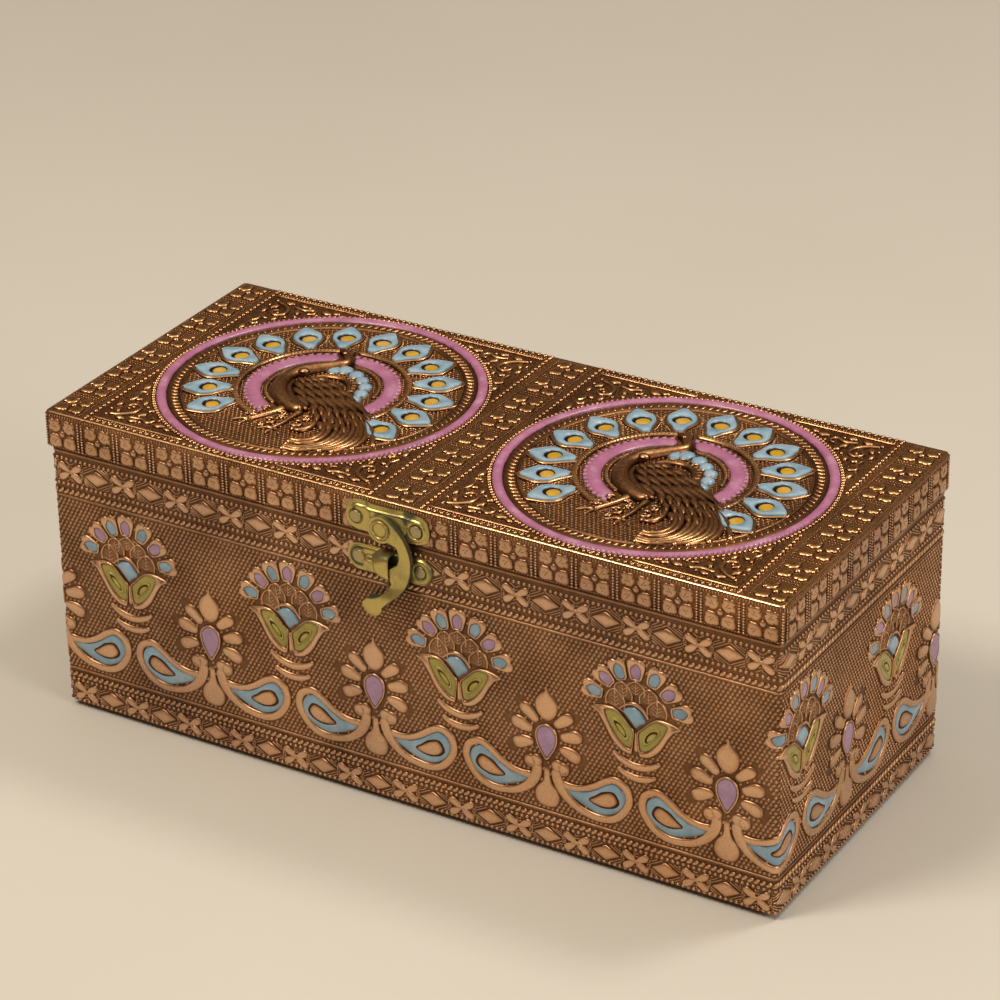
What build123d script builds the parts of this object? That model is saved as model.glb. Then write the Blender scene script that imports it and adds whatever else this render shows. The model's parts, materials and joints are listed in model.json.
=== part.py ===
from build123d import *
from math import pi
import os

os.makedirs("parts", exist_ok=True)

# Overall sizes, in millimetres. X runs along the box, the front faces -Y.
lid_length = 250.0
lid_depth = 107.5
lid_height = 11.6
lid_overhang = 1.0
body_height = 89.1
seam_gap = 0.5
corner_radius = 1.6

# Boards, sheet and lining
wall_thickness = 6.0
base_thickness = 4.0
lid_board_thickness = 4.0
lid_rail_width = 6.0
partition_thickness = 4.0
foil_thickness = 0.5
fold_width = 3.0
lining_thickness = 0.8

# Rubber feet
foot_height = 2.0
foot_radius = 4.5
foot_inset = 9.0
foot_round = 0.6

# Embossed work on the sheet: plain rails and the edges of the lid's panels
relief_height = 0.6
rail_relief_width = 1.0
lid_border_inset = 1.2
end_strip_width = 13.0
middle_strip_width = 16.3
strip_flower_count = 8
strip_flower_pitch = 13.38
strip_petal = 3.9
strip_petal_pitch = 4.9

# Medallions, drawn at one radius and scaled with the lid's depth
medallion_edge_gap = 2.35
medallion_drawn_radius = 51.4
medallion_relief_height = 0.9
bead_ring_width = 0.7
pink_ring_radius = 50.5
pink_ring_width = 3.0
brown_ring_radius = 47.3
brown_ring_width = 4.2
outer_arch_radius = 27.6
outer_arch_width = 2.3
pink_arch_radius = 23.5
pink_arch_width = 4.9
arch_foot_width = 26.0
arch_foot_middle = 6.5
medallion_rings = [
    (medallion_drawn_radius, bead_ring_width),
    (pink_ring_radius, pink_ring_width),
    (brown_ring_radius, brown_ring_width),
    (outer_arch_radius, outer_arch_width),
    (pink_arch_radius, pink_arch_width),
]
feather_count = 14
feather_start_angle = -27.5
feather_sweep = 256.5
feather_ring_radius = 35.0
feather_length = 14.6
feather_width = 8.2

# The peacock of a medallion, from the medallion's middle
bird_relief_height = 1.4
bird_neck_line = [(3.4, -16.9), (-4.0, -13.0), (-9.6, -6.7), (-12.8, 1.2), (-11.6, 9.2), (-6.2, 14.8),
                  (-2.6, 18.9), (-7.4, 24.4)]
bird_neck_width = 3.6
bird_wing = [(-9.6, 1.0), (-6.0, 3.2), (0.6, 3.1), (8.8, 0.2), (21.9, -11.2), (8.0, -12.3), (-2.5, -10.4),
             (-7.2, -6.0)]
bird_tail = [(3.7, -12.5), (21.0, -12.0), (37.0, -17.5), (31.0, -25.5), (24.5, -37.5), (12.0, -41.0),
             (11.5, -34.5), (16.0, -30.5)]
bird_legs = [[(-2.6, -17.0), (-7.6, -29.2)], [(3.0, -17.6), (2.9, -30.4)]]
bird_leg_width = 1.2
bird_toes = [[(-13.6, -33.4), (-7.6, -29.2), (-4.2, -33.2)], [(-2.6, -33.8), (2.9, -30.4), (7.2, -33.6)]]
bird_toe_width = 0.8
crest_dots = [(-3.0, 12.6), (4.4, 12.7), (8.5, 10.0), (11.2, 6.6), (12.6, 2.3), (13.1, -2.0)]
crest_dot_radius = 2.1

# Pattern round the body: tiles of a lotus, two paisleys and a sprig between two bands
tile_count = 12
first_lotus_from_end = 26.2
body_band_rail = 0.9
low_rail_height = 12.3
high_rail_drop = 16.0
low_band_height = 4.1
high_band_drop = 7.5
band_pitch_per_tile = 6
band_reach = (4.8, 4.8)
diamond_length = 8.8
diamond_height = 4.9
cross_leaf_length = 10.2
cross_leaf_width = 1.9
cross_leaf_angle = 32.0
lotus_reach = (15.6, 15.6)
lotus_centre_height = 55.7
lotus_petal_radius = 13.2
lotus_petal_count = 7
lotus_petal_start = 8.0
lotus_petal_sweep = 164.0
lotus_petal_length = 5.9
lotus_petal_width = 4.8
lotus_bud_height = 52.3
lotus_bud_radius = 2.9
lotus_leaf = [(0.0, 47.6), (4.2, 51.4), (7.2, 53.4), (14.3, 52.5), (11.1, 48.0), (8.2, 43.4), (1.3, 40.3)]
lotus_pot_lines = [[(-7.3, 39.6), (0.3, 36.35), (7.9, 39.4)], [(-5.3, 34.3), (0.3, 32.7), (6.2, 34.3)]]
lotus_pot_width = 1.6
sprig_reach = (12.4, 12.4)
sprig_drop_height = 36.6
sprig_drop = (7.4, 12.4)
sprig_flame_height = 47.4
sprig_flame = (6.9, 9.4)
sprig_leaf = (8.4, 3.4)
sprig_leaf_places = [(5.6, 43.1, 30.0), (8.2, 38.9, 3.0), (7.4, 33.7, -20.0)]
pendant_height = 18.2
pendant_radius = 4.2
pendant_neck = (1.8, 9.4)
paisley_reach = (-0.7, 28.4)
paisley_outline = [(0.8, 23.2), (3.1, 17.5), (7.1, 14.7), (12.4, 13.8), (17.8, 14.7), (22.4, 17.1),
                   (26.4, 21.1), (28.2, 25.0), (24.2, 24.3), (21.4, 23.8), (17.8, 24.4), (14.2, 26.4),
                   (10.6, 29.3), (7.1, 30.7), (3.4, 29.4), (1.4, 26.8)]
paisley_hollow = [(5.6, 22.8), (7.6, 25.4), (13.4, 22.3), (15.4, 20.4), (8.4, 19.8)]
paisley_head = (25.3, 27.4)
paisley_head_radius = 2.7

# Butt hinges
hinge_length = 25.0
hinge_from_end = 50.0
hinge_leaf_reach = 9.6
hinge_leaf_thickness = 0.8
hinge_barrel_radius = 1.6
hinge_pin_radius = 0.75
hinge_pin_clearance = 0.03
hinge_end_knuckle = 7.5
hinge_knuckle_gap = 0.2
hinge_notch_gap = 0.3
hinge_pin_head_radius = 1.15
hinge_pin_head = 0.5
hinge_leaf_corner = 1.5
hinge_nail_spread = 15.0
hinge_nail_from_axis = 6.2
hinge_nail_head_radius = 1.3
hinge_nail_head_height = 0.5

# Nails that hold the brass fittings
nail_shank_radius = 0.6
nail_shank_length = 5.0
nail_hole_clearance = 0.1
latch_nail_head_radius = 1.9
latch_nail_head_height = 0.45

# Swing latch, placed from the middle of the front and the closed seam
latch_pivot_x = -3.6
latch_pivot_above_seam = 3.55
latch_plate_sheet = 0.6
latch_plate_length = 27.6
latch_plate_height = 8.2
latch_plate_middle_x = -2.6
latch_plate_above_seam = 4.85
latch_nail_left_x = -13.1
latch_nail_right_x = 7.5
latch_boss_rise = 0.5
latch_boss_radius = 3.6
latch_boss_reach = 4.6
latch_step_depth = 0.9
latch_step_x = -8.4
hook_clearance = 0.1
hook_thickness = 1.6
hook_disc_radius = 4.3
rivet_barrel_radius = 2.0
rivet_bore_radius = 1.5
rivet_running_clearance = 0.05
rivet_flange_radius = 2.9
rivet_flange = 0.4

# Catch plate with its raised loop
catch_plate_length = 29.0
catch_plate_height = 8.6
catch_plate_middle_x = -2.5
catch_below_seam = 8.75
catch_nail_left_x = -13.0
catch_nail_right_x = 7.9
catch_sheet = 0.6
catch_loop_left_x = -8.6
catch_loop_right_x = -0.9
catch_loop_height = 8.4
catch_loop_rise = 4.0
catch_loop_round = 1.5
catch_ridge_width = 2.2
catch_ridge_rise = 0.5

# Places worked out from the sizes above
body_bottom = foot_height
body_top = body_bottom + body_height
lid_bottom = body_top + seam_gap
lid_top = lid_bottom + lid_height
seam_middle = (body_top + lid_bottom) / 2
back_face = lid_depth / 2
lid_front_face = -lid_depth / 2
body_front_face = lid_front_face + lid_overhang
body_length = lid_length - 2 * lid_overhang
body_depth = lid_depth - lid_overhang
body_middle_y = (back_face + body_front_face) / 2
board_length = body_length - 2 * foil_thickness
board_depth = body_depth - 2 * foil_thickness
board_corner = corner_radius - foil_thickness
board_bottom = body_bottom + foil_thickness
floor_top = board_bottom + base_thickness
wall_top = body_top - foil_thickness
inner_length = board_length - 2 * wall_thickness
inner_depth = board_depth - 2 * wall_thickness
compartment_length = (inner_length - partition_thickness) / 2
lid_board_length = lid_length - 2 * foil_thickness
lid_board_depth = lid_depth - 2 * foil_thickness
lid_board_top = lid_top - foil_thickness
lid_board_bottom = lid_board_top - lid_board_thickness
lid_rail_bottom = lid_bottom + foil_thickness
lid_inner_length = lid_board_length - 2 * lid_rail_width
lid_inner_depth = lid_board_depth - 2 * lid_rail_width
hinge_axis_y = back_face + hinge_barrel_radius
latch_pivot_z = seam_middle + latch_pivot_above_seam
latch_plate_z = seam_middle + latch_plate_above_seam
catch_z = seam_middle - catch_below_seam
hook_back = lid_front_face - latch_plate_sheet - latch_boss_rise - hook_clearance
hook_front = hook_back - hook_thickness
catch_nail_places = [(catch_nail_left_x, catch_z), (catch_nail_right_x, catch_z)]
latch_nail_places = [(latch_nail_left_x, latch_plate_z), (latch_nail_right_x, latch_plate_z)]
hinge_centres = [hinge_from_end - lid_length / 2, lid_length / 2 - hinge_from_end]
hinge_nail_offsets = [-hinge_nail_spread / 2, hinge_nail_spread / 2]


def level(height, middle_y=0.0):
    """A level plane at this height, centred on the box or on its body."""
    return Plane(origin=(0, middle_y, height), x_dir=(1, 0, 0), z_dir=(0, 0, 1))


def front_plane(y):
    """An upright plane that faces the front: its x is X and its y is Z."""
    return Plane(origin=(0, y, 0), x_dir=(1, 0, 0), z_dir=(0, -1, 0))


def back_plane(y):
    """An upright plane that faces the back: its x is -X and its y is Z."""
    return Plane(origin=(0, y, 0), x_dir=(-1, 0, 0), z_dir=(0, 1, 0))


def hinge_nail_places(side):
    """Nail centres of both hinges on the back plane, above (1) or below (-1) the axis."""
    height = seam_middle + side * hinge_nail_from_axis
    return [(-(centre + offset), height) for centre in hinge_centres for offset in hinge_nail_offsets]


def drill(face, places, radius, depth):
    """Round holes cut into the part being built, from a face towards the inside."""
    with BuildSketch(face) as holes:
        with Locations(*places):
            Circle(radius)
    extrude(holes.sketch, amount=-depth, mode=Mode.SUBTRACT)


# Base board
with BuildPart() as base_board:
    with BuildSketch(level(board_bottom, body_middle_y)):
        RectangleRounded(board_length, board_depth, board_corner)
    extrude(amount=base_thickness)
base_board.part.label = "base_board"
export_step(base_board.part, "parts/base_board.step")

# Front and back boards run the whole length, and their outer corners are rounded
front_board_middle = body_front_face + foil_thickness + wall_thickness / 2
back_board_middle = back_face - foil_thickness - wall_thickness / 2

with BuildPart() as front_board:
    with BuildSketch(level(floor_top, front_board_middle)):
        Rectangle(board_length, wall_thickness)
    extrude(amount=wall_top - floor_top)
    fillet(front_board.edges().filter_by(Axis.Z).group_by(Axis.Y)[0], board_corner)
    drill(front_plane(body_front_face + foil_thickness), catch_nail_places, nail_shank_radius,
          nail_shank_length)
front_board.part.label = "front_board"
export_step(front_board.part, "parts/front_board.step")

with BuildPart() as back_board:
    with BuildSketch(level(floor_top, back_board_middle)):
        Rectangle(board_length, wall_thickness)
    extrude(amount=wall_top - floor_top)
    fillet(back_board.edges().filter_by(Axis.Z).group_by(Axis.Y)[-1], board_corner)
    drill(back_plane(back_face - foil_thickness), hinge_nail_places(-1), nail_shank_radius,
          nail_shank_length)
back_board.part.label = "back_board"
export_step(back_board.part, "parts/back_board.step")

# End boards sit between the front and back boards
for end_name, end_side in [("left", -1), ("right", 1)]:
    with BuildPart() as end_board:
        with BuildSketch(level(floor_top)):
            with Locations((end_side * (inner_length + wall_thickness) / 2, body_middle_y)):
                Rectangle(wall_thickness, inner_depth)
        extrude(amount=wall_top - floor_top)
    end_board.part.label = f"{end_name}_board"
    export_step(end_board.part, f"parts/{end_name}_board.step")

# Fixed partition across the middle
with BuildPart() as partition_board:
    with BuildSketch(level(floor_top, body_middle_y)):
        Rectangle(partition_thickness, inner_depth)
    extrude(amount=wall_top - floor_top)
partition_board.part.label = "partition_board"
export_step(partition_board.part, "parts/partition_board.step")

# Copper sheet round the body, turned over the top edge and under the base
sheet_perimeter = 2 * (body_length + body_depth - 4 * corner_radius) + 2 * pi * corner_radius
tile_length = sheet_perimeter / tile_count
corner_arc = pi * corner_radius / 2


def places_on_face(face_start, face_length, first, pitch, reach, height):
    """Where a repeating form, which reaches so far left and right, lies whole on one face."""
    straight = face_length - 2 * corner_radius
    steps = range(int(sheet_perimeter / pitch))
    from_start = [(first + step * pitch) % sheet_perimeter - face_start for step in steps]
    reach_left, reach_right = reach
    return [(place - straight / 2, height) for place in from_start
            if reach_left <= place <= straight - reach_right]


def smooth_form(points, side=1, mode=Mode.ADD):
    """A closed form with one smooth edge through the points."""
    with BuildLine(mode=Mode.PRIVATE) as edge:
        Spline(*[(side * x, height) for x, height in points], periodic=True)
    make_face(edge.line, mode=mode)


# Lotus over its pot: fan of petals, bud, two leaves and two bowed lines
with BuildSketch() as lotus:
    with Locations((0, lotus_centre_height)):
        with PolarLocations(lotus_petal_radius, lotus_petal_count, start_angle=lotus_petal_start,
                            angular_range=lotus_petal_sweep, endpoint=True):
            Ellipse(lotus_petal_length / 2, lotus_petal_width / 2)
    with Locations((0, lotus_bud_height)):
        Circle(lotus_bud_radius)
    for side in (-1, 1):
        smooth_form(lotus_leaf, side)
    for pot_points in lotus_pot_lines:
        with BuildLine(mode=Mode.PRIVATE) as pot_line:
            ThreePointArc(*pot_points)
        SlotArc(pot_line.line.edge(), lotus_pot_width)

# Sprig: a drop with six leaves, a flame above and a pendant below
with BuildSketch() as sprig:
    for height, (across, tall) in [(sprig_drop_height, sprig_drop), (sprig_flame_height, sprig_flame)]:
        with Locations((0, height)):
            Ellipse(across / 2, tall / 2)
    for side in (-1, 1):
        with Locations(*[Location((side * x, height), side * angle)
                         for x, height, angle in sprig_leaf_places]):
            Ellipse(sprig_leaf[0] / 2, sprig_leaf[1] / 2)
    with Locations((0, pendant_height)):
        Circle(pendant_radius)
        Rectangle(*pendant_neck, align=(Align.CENTER, Align.MIN))

# Paisley to the right of its lotus: a curved drop with a hollow, and the round scroll at its tip
with BuildSketch() as right_paisley:
    smooth_form(paisley_outline)
    smooth_form(paisley_hollow, mode=Mode.SUBTRACT)
    with Locations(paisley_head):
        Circle(paisley_head_radius)
with BuildSketch() as left_paisley:
    mirror(right_paisley.sketch, about=Plane.YZ)

# Bare places on the sheet where the catch and the hinges lie
with BuildSketch() as catch_footprint:
    SlotOverall(catch_plate_length, catch_plate_height)
with BuildSketch() as hinge_footprint:
    Rectangle(hinge_length, hinge_leaf_reach, align=(Align.CENTER, Align.MAX))

# Crosses and diamonds of the bands
with BuildSketch() as cross:
    for angle in (-cross_leaf_angle, cross_leaf_angle):
        Ellipse(cross_leaf_length / 2, cross_leaf_width / 2, rotation=angle)
with BuildSketch() as diamond:
    Polygon((-diamond_length / 2, 0), (0, -diamond_height / 2), (diamond_length / 2, 0),
            (0, diamond_height / 2))

# The four faces in the order that the pattern runs round, with what is fixed to each
body_faces = [
    (front_plane(body_front_face), body_length, [[(catch_plate_middle_x, catch_z)], catch_footprint]),
    (Plane(origin=(body_length / 2, body_middle_y, 0), x_dir=(0, 1, 0), z_dir=(1, 0, 0)), body_depth, None),
    (back_plane(back_face), body_length, [[(-x, seam_middle) for x in hinge_centres], hinge_footprint]),
    (Plane(origin=(-body_length / 2, body_middle_y, 0), x_dir=(0, -1, 0), z_dir=(-1, 0, 0)), body_depth,
     None),
]
first_lotus = first_lotus_from_end - corner_radius
band_pitch = tile_length / band_pitch_per_tile
band_heights = [body_bottom + low_band_height, body_top - high_band_drop]

with BuildPart() as body_foil:
    with BuildSketch(level(body_bottom, body_middle_y)):
        RectangleRounded(body_length, body_depth, corner_radius)
    extrude(amount=body_height)
    for rail_height in [body_bottom + low_rail_height, body_top - high_rail_drop]:
        with BuildSketch(level(rail_height - body_band_rail / 2, body_middle_y)):
            RectangleRounded(body_length + 2 * relief_height, body_depth + relief_height, corner_radius)
        extrude(amount=body_band_rail)
    with BuildSketch(level(floor_top, body_middle_y)):
        Rectangle(board_length - 2 * fold_width, board_depth - 2 * fold_width)
    extrude(amount=body_height, both=True, mode=Mode.SUBTRACT)
    with BuildSketch(level(board_bottom, body_middle_y)):
        RectangleRounded(board_length, board_depth, board_corner)
    extrude(amount=wall_top - board_bottom, mode=Mode.SUBTRACT)
    drill(front_plane(body_front_face), catch_nail_places, nail_shank_radius, nail_shank_length)
    drill(back_plane(back_face), hinge_nail_places(-1), nail_shank_radius, nail_shank_length)
    face_start = 0.0
    for face, face_length, fitting in body_faces:
        run = [face_start, face_length]
        placed_forms = [
            (lotus, places_on_face(*run, first_lotus, tile_length, lotus_reach, body_bottom)),
            (sprig, places_on_face(*run, first_lotus + tile_length / 2, tile_length, sprig_reach,
                                   body_bottom)),
            (left_paisley, places_on_face(*run, first_lotus, tile_length, paisley_reach[::-1],
                                          body_bottom)),
            (right_paisley, places_on_face(*run, first_lotus, tile_length, paisley_reach, body_bottom)),
        ]
        for band_height in band_heights:
            for form, first in [(cross, first_lotus), (diamond, first_lotus + band_pitch)]:
                placed_forms.append((form, places_on_face(*run, first, 2 * band_pitch, band_reach,
                                                          band_height)))
        with BuildSketch(face):
            for form, places in placed_forms:
                with Locations(*places):
                    add(form.sketch)
            if fitting:
                with Locations(*fitting[0]):
                    add(fitting[1].sketch, mode=Mode.SUBTRACT)
        extrude(amount=relief_height, clean=False)
        face_start += face_length - 2 * corner_radius + corner_arc
body_foil.part.label = "body_foil"
export_step(body_foil.part, "parts/body_foil.step")

# Cover sheet under the base, inside the turned-under edge
with BuildPart() as base_cover:
    with BuildSketch(level(body_bottom, body_middle_y)):
        Rectangle(board_length - 2 * fold_width, board_depth - 2 * fold_width)
    extrude(amount=foil_thickness)
base_cover.part.label = "base_cover"
export_step(base_cover.part, "parts/base_cover.step")

# Velvet lining of the two compartments, turned over the wall tops up to the folded sheet
lining_lip_length = (board_length - 2 * fold_width) / 2
lining_lip_depth = board_depth - 2 * fold_width

for end_name, end_side in [("left", -1), ("right", 1)]:
    compartment_x = end_side * (partition_thickness + compartment_length) / 2
    with BuildPart() as lining:
        with BuildSketch(level(floor_top)):
            with Locations((compartment_x, body_middle_y)):
                Rectangle(compartment_length, inner_depth)
        extrude(amount=wall_top - floor_top)
        with BuildSketch(level(wall_top)):
            with Locations((end_side * lining_lip_length / 2, body_middle_y)):
                Rectangle(lining_lip_length, lining_lip_depth)
        extrude(amount=foil_thickness)
        with BuildSketch(level(floor_top + lining_thickness)):
            with Locations((compartment_x, body_middle_y)):
                Rectangle(compartment_length - 2 * lining_thickness, inner_depth - 2 * lining_thickness)
        extrude(amount=body_height, mode=Mode.SUBTRACT)
    lining.part.label = f"{end_name}_lining"
    export_step(lining.part, f"parts/{end_name}_lining.step")

# Rubber feet under the four corners
foot_places = {
    "front_left": (-body_length / 2 + foot_inset, body_front_face + foot_inset),
    "front_right": (body_length / 2 - foot_inset, body_front_face + foot_inset),
    "back_left": (-body_length / 2 + foot_inset, back_face - foot_inset),
    "back_right": (body_length / 2 - foot_inset, back_face - foot_inset),
}
for foot_name, foot_place in foot_places.items():
    with BuildPart() as foot:
        with BuildSketch(Plane.XY):
            with Locations(foot_place):
                Circle(foot_radius)
        extrude(amount=foot_height)
        fillet(foot.edges().group_by(Axis.Z)[0], foot_round)
    foot.part.label = f"foot_{foot_name}"
    export_step(foot.part, f"parts/foot_{foot_name}.step")

# Lid board
with BuildPart() as lid_board:
    with BuildSketch(level(lid_board_bottom)):
        RectangleRounded(lid_board_length, lid_board_depth, board_corner)
    extrude(amount=lid_board_thickness)
lid_board.part.label = "lid_board"
export_step(lid_board.part, "parts/lid_board.step")

# Rails glued under the edge of the lid board
lid_rail_height = lid_board_bottom - lid_rail_bottom
lid_rail_middle_y = (lid_board_depth - lid_rail_width) / 2

with BuildPart() as lid_front_rail:
    with BuildSketch(level(lid_rail_bottom, -lid_rail_middle_y)):
        Rectangle(lid_board_length, lid_rail_width)
    extrude(amount=lid_rail_height)
    fillet(lid_front_rail.edges().filter_by(Axis.Z).group_by(Axis.Y)[0], board_corner)
    drill(front_plane(lid_front_face + foil_thickness), latch_nail_places, nail_shank_radius,
          nail_shank_length)
lid_front_rail.part.label = "lid_front_rail"
export_step(lid_front_rail.part, "parts/lid_front_rail.step")

with BuildPart() as lid_back_rail:
    with BuildSketch(level(lid_rail_bottom, lid_rail_middle_y)):
        Rectangle(lid_board_length, lid_rail_width)
    extrude(amount=lid_rail_height)
    fillet(lid_back_rail.edges().filter_by(Axis.Z).group_by(Axis.Y)[-1], board_corner)
    drill(back_plane(back_face - foil_thickness), hinge_nail_places(1), nail_shank_radius,
          nail_shank_length)
lid_back_rail.part.label = "lid_back_rail"
export_step(lid_back_rail.part, "parts/lid_back_rail.step")

for end_name, end_side in [("left", -1), ("right", 1)]:
    with BuildPart() as lid_end_rail:
        with BuildSketch(level(lid_rail_bottom)):
            with Locations((end_side * (lid_inner_length + lid_rail_width) / 2, 0)):
                Rectangle(lid_rail_width, lid_inner_depth)
        extrude(amount=lid_rail_height)
    lid_end_rail.part.label = f"lid_{end_name}_rail"
    export_step(lid_end_rail.part, f"parts/lid_{end_name}_rail.step")

# Velvet lining of the lid
with BuildPart() as lid_lining:
    with BuildSketch(level(lid_rail_bottom)):
        Rectangle(lid_inner_length, lid_inner_depth)
    extrude(amount=lid_rail_height)
    with BuildSketch(level(lid_bottom)):
        Rectangle(lid_board_length - 2 * fold_width, lid_board_depth - 2 * fold_width)
    extrude(amount=foil_thickness)
    with BuildSketch(level(lid_board_bottom - lining_thickness)):
        Rectangle(lid_inner_length - 2 * lining_thickness, lid_inner_depth - 2 * lining_thickness)
    extrude(amount=-lid_height, mode=Mode.SUBTRACT)
lid_lining.part.label = "lid_lining"
export_step(lid_lining.part, "parts/lid_lining.step")

# Copper sheet round the lid rim, turned under the rails
with BuildPart() as lid_rim_foil:
    with BuildSketch(level(lid_bottom)):
        RectangleRounded(lid_length, lid_depth, corner_radius)
    extrude(amount=lid_board_top - lid_bottom)
    with BuildSketch(level(lid_bottom)):
        Rectangle(lid_board_length - 2 * fold_width, lid_board_depth - 2 * fold_width)
    extrude(amount=foil_thickness, mode=Mode.SUBTRACT)
    with BuildSketch(level(lid_rail_bottom)):
        RectangleRounded(lid_board_length, lid_board_depth, board_corner)
    extrude(amount=lid_height, mode=Mode.SUBTRACT)
    drill(front_plane(lid_front_face), latch_nail_places, nail_shank_radius, nail_shank_length)
    drill(back_plane(back_face), hinge_nail_places(1), nail_shank_radius, nail_shank_length)
lid_rim_foil.part.label = "lid_rim_foil"
export_step(lid_rim_foil.part, "parts/lid_rim_foil.step")

# Embossed copper sheet on the lid: border, flower strips, and two medallions with a peacock each
medallion_radius = lid_depth / 2 - medallion_edge_gap
medallion_scale = medallion_radius / medallion_drawn_radius
medallion_middle_x = (lid_length / 2 - lid_border_inset - end_strip_width + middle_strip_width / 2) / 2
strip_rail_places = [
    side * distance
    for side in (-1, 1)
    for distance in (middle_strip_width / 2, lid_length / 2 - lid_border_inset - end_strip_width)
]
strip_places = [side * (lid_length - end_strip_width) / 2 for side in (-1, 0, 1)]
lid_frame_depth = lid_depth - 2 * lid_border_inset


def drawn(points):
    """Points of the medallion drawing at the medallion's real size."""
    return [(x * medallion_scale, y * medallion_scale) for x, y in points]


def raised_line(points, width):
    """A line of even width with round ends through points of the medallion drawing."""
    for start, end in zip(drawn(points), drawn(points[1:])):
        run = Vector(*end) - Vector(*start)
        middle = (Vector(*start) + Vector(*end)) / 2
        with Locations(Location((middle.X, middle.Y), Vector(1, 0).get_signed_angle(run))):
            SlotCenterToCenter(run.length, width * medallion_scale)


with BuildPart() as lid_top_foil:
    with BuildSketch(level(lid_board_top)):
        RectangleRounded(lid_length, lid_depth, corner_radius)
    extrude(amount=foil_thickness)
    with BuildSketch(level(lid_top)):
        Rectangle(lid_length - 2 * lid_border_inset, lid_frame_depth)
        Rectangle(lid_length - 2 * lid_border_inset - 2 * rail_relief_width,
                  lid_frame_depth - 2 * rail_relief_width, mode=Mode.SUBTRACT)
        with Locations(*[(x, 0) for x in strip_rail_places]):
            Rectangle(rail_relief_width, lid_frame_depth)
        for strip_x in strip_places:
            with Locations((strip_x, 0)):
                with GridLocations(0, strip_flower_pitch, 1, strip_flower_count):
                    with GridLocations(strip_petal_pitch, strip_petal_pitch, 2, 2):
                        Rectangle(strip_petal, strip_petal)
    extrude(amount=relief_height)
    for centre_x in (-medallion_middle_x, medallion_middle_x):
        with BuildSketch(level(lid_top)):
            with Locations((centre_x, 0)):
                for radius, width in medallion_rings:
                    Circle(radius * medallion_scale)
                    Circle((radius - width) * medallion_scale, mode=Mode.SUBTRACT)
                with Locations((arch_foot_middle * medallion_scale, 0)):
                    Rectangle(arch_foot_width * medallion_scale, outer_arch_radius * medallion_scale,
                              align=(Align.CENTER, Align.MAX), mode=Mode.SUBTRACT)
                with PolarLocations(feather_ring_radius * medallion_scale, feather_count,
                                    start_angle=feather_start_angle, angular_range=feather_sweep,
                                    endpoint=True):
                    Ellipse(feather_length * medallion_scale / 2, feather_width * medallion_scale / 2)
                with Locations(*drawn(crest_dots)):
                    Circle(crest_dot_radius * medallion_scale)
                Polygon(*drawn(bird_tail), align=None)
                for leg in bird_legs:
                    raised_line(leg, bird_leg_width)
                for toes in bird_toes:
                    raised_line(toes, bird_toe_width)
        extrude(amount=medallion_relief_height)
        with BuildSketch(level(lid_top)):
            with Locations((centre_x, 0)):
                raised_line(bird_neck_line, bird_neck_width)
                Polygon(*drawn(bird_wing), align=None)
        extrude(amount=bird_relief_height)
lid_top_foil.part.label = "lid_top_foil"
export_step(lid_top_foil.part, "parts/lid_top_foil.step")


def hinge_knuckle(start_x, length):
    """One rolled knuckle on the hinge axis."""
    with BuildSketch(Plane.YZ.offset(start_x)) as knuckle:
        with Locations((hinge_axis_y, seam_middle)):
            Circle(hinge_barrel_radius)
    extrude(knuckle.sketch, amount=length)


def hinge_bore(start_x):
    """The pin hole right through a leaf's knuckles."""
    with BuildSketch(Plane.YZ.offset(start_x)) as bore:
        with Locations((hinge_axis_y, seam_middle)):
            Circle(hinge_pin_radius + hinge_pin_clearance)
    extrude(bore.sketch, amount=hinge_length, mode=Mode.SUBTRACT)


hinge_notch = hinge_barrel_radius + hinge_notch_gap
hinge_middle_knuckle = hinge_length - 2 * hinge_end_knuckle - 2 * hinge_knuckle_gap

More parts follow.
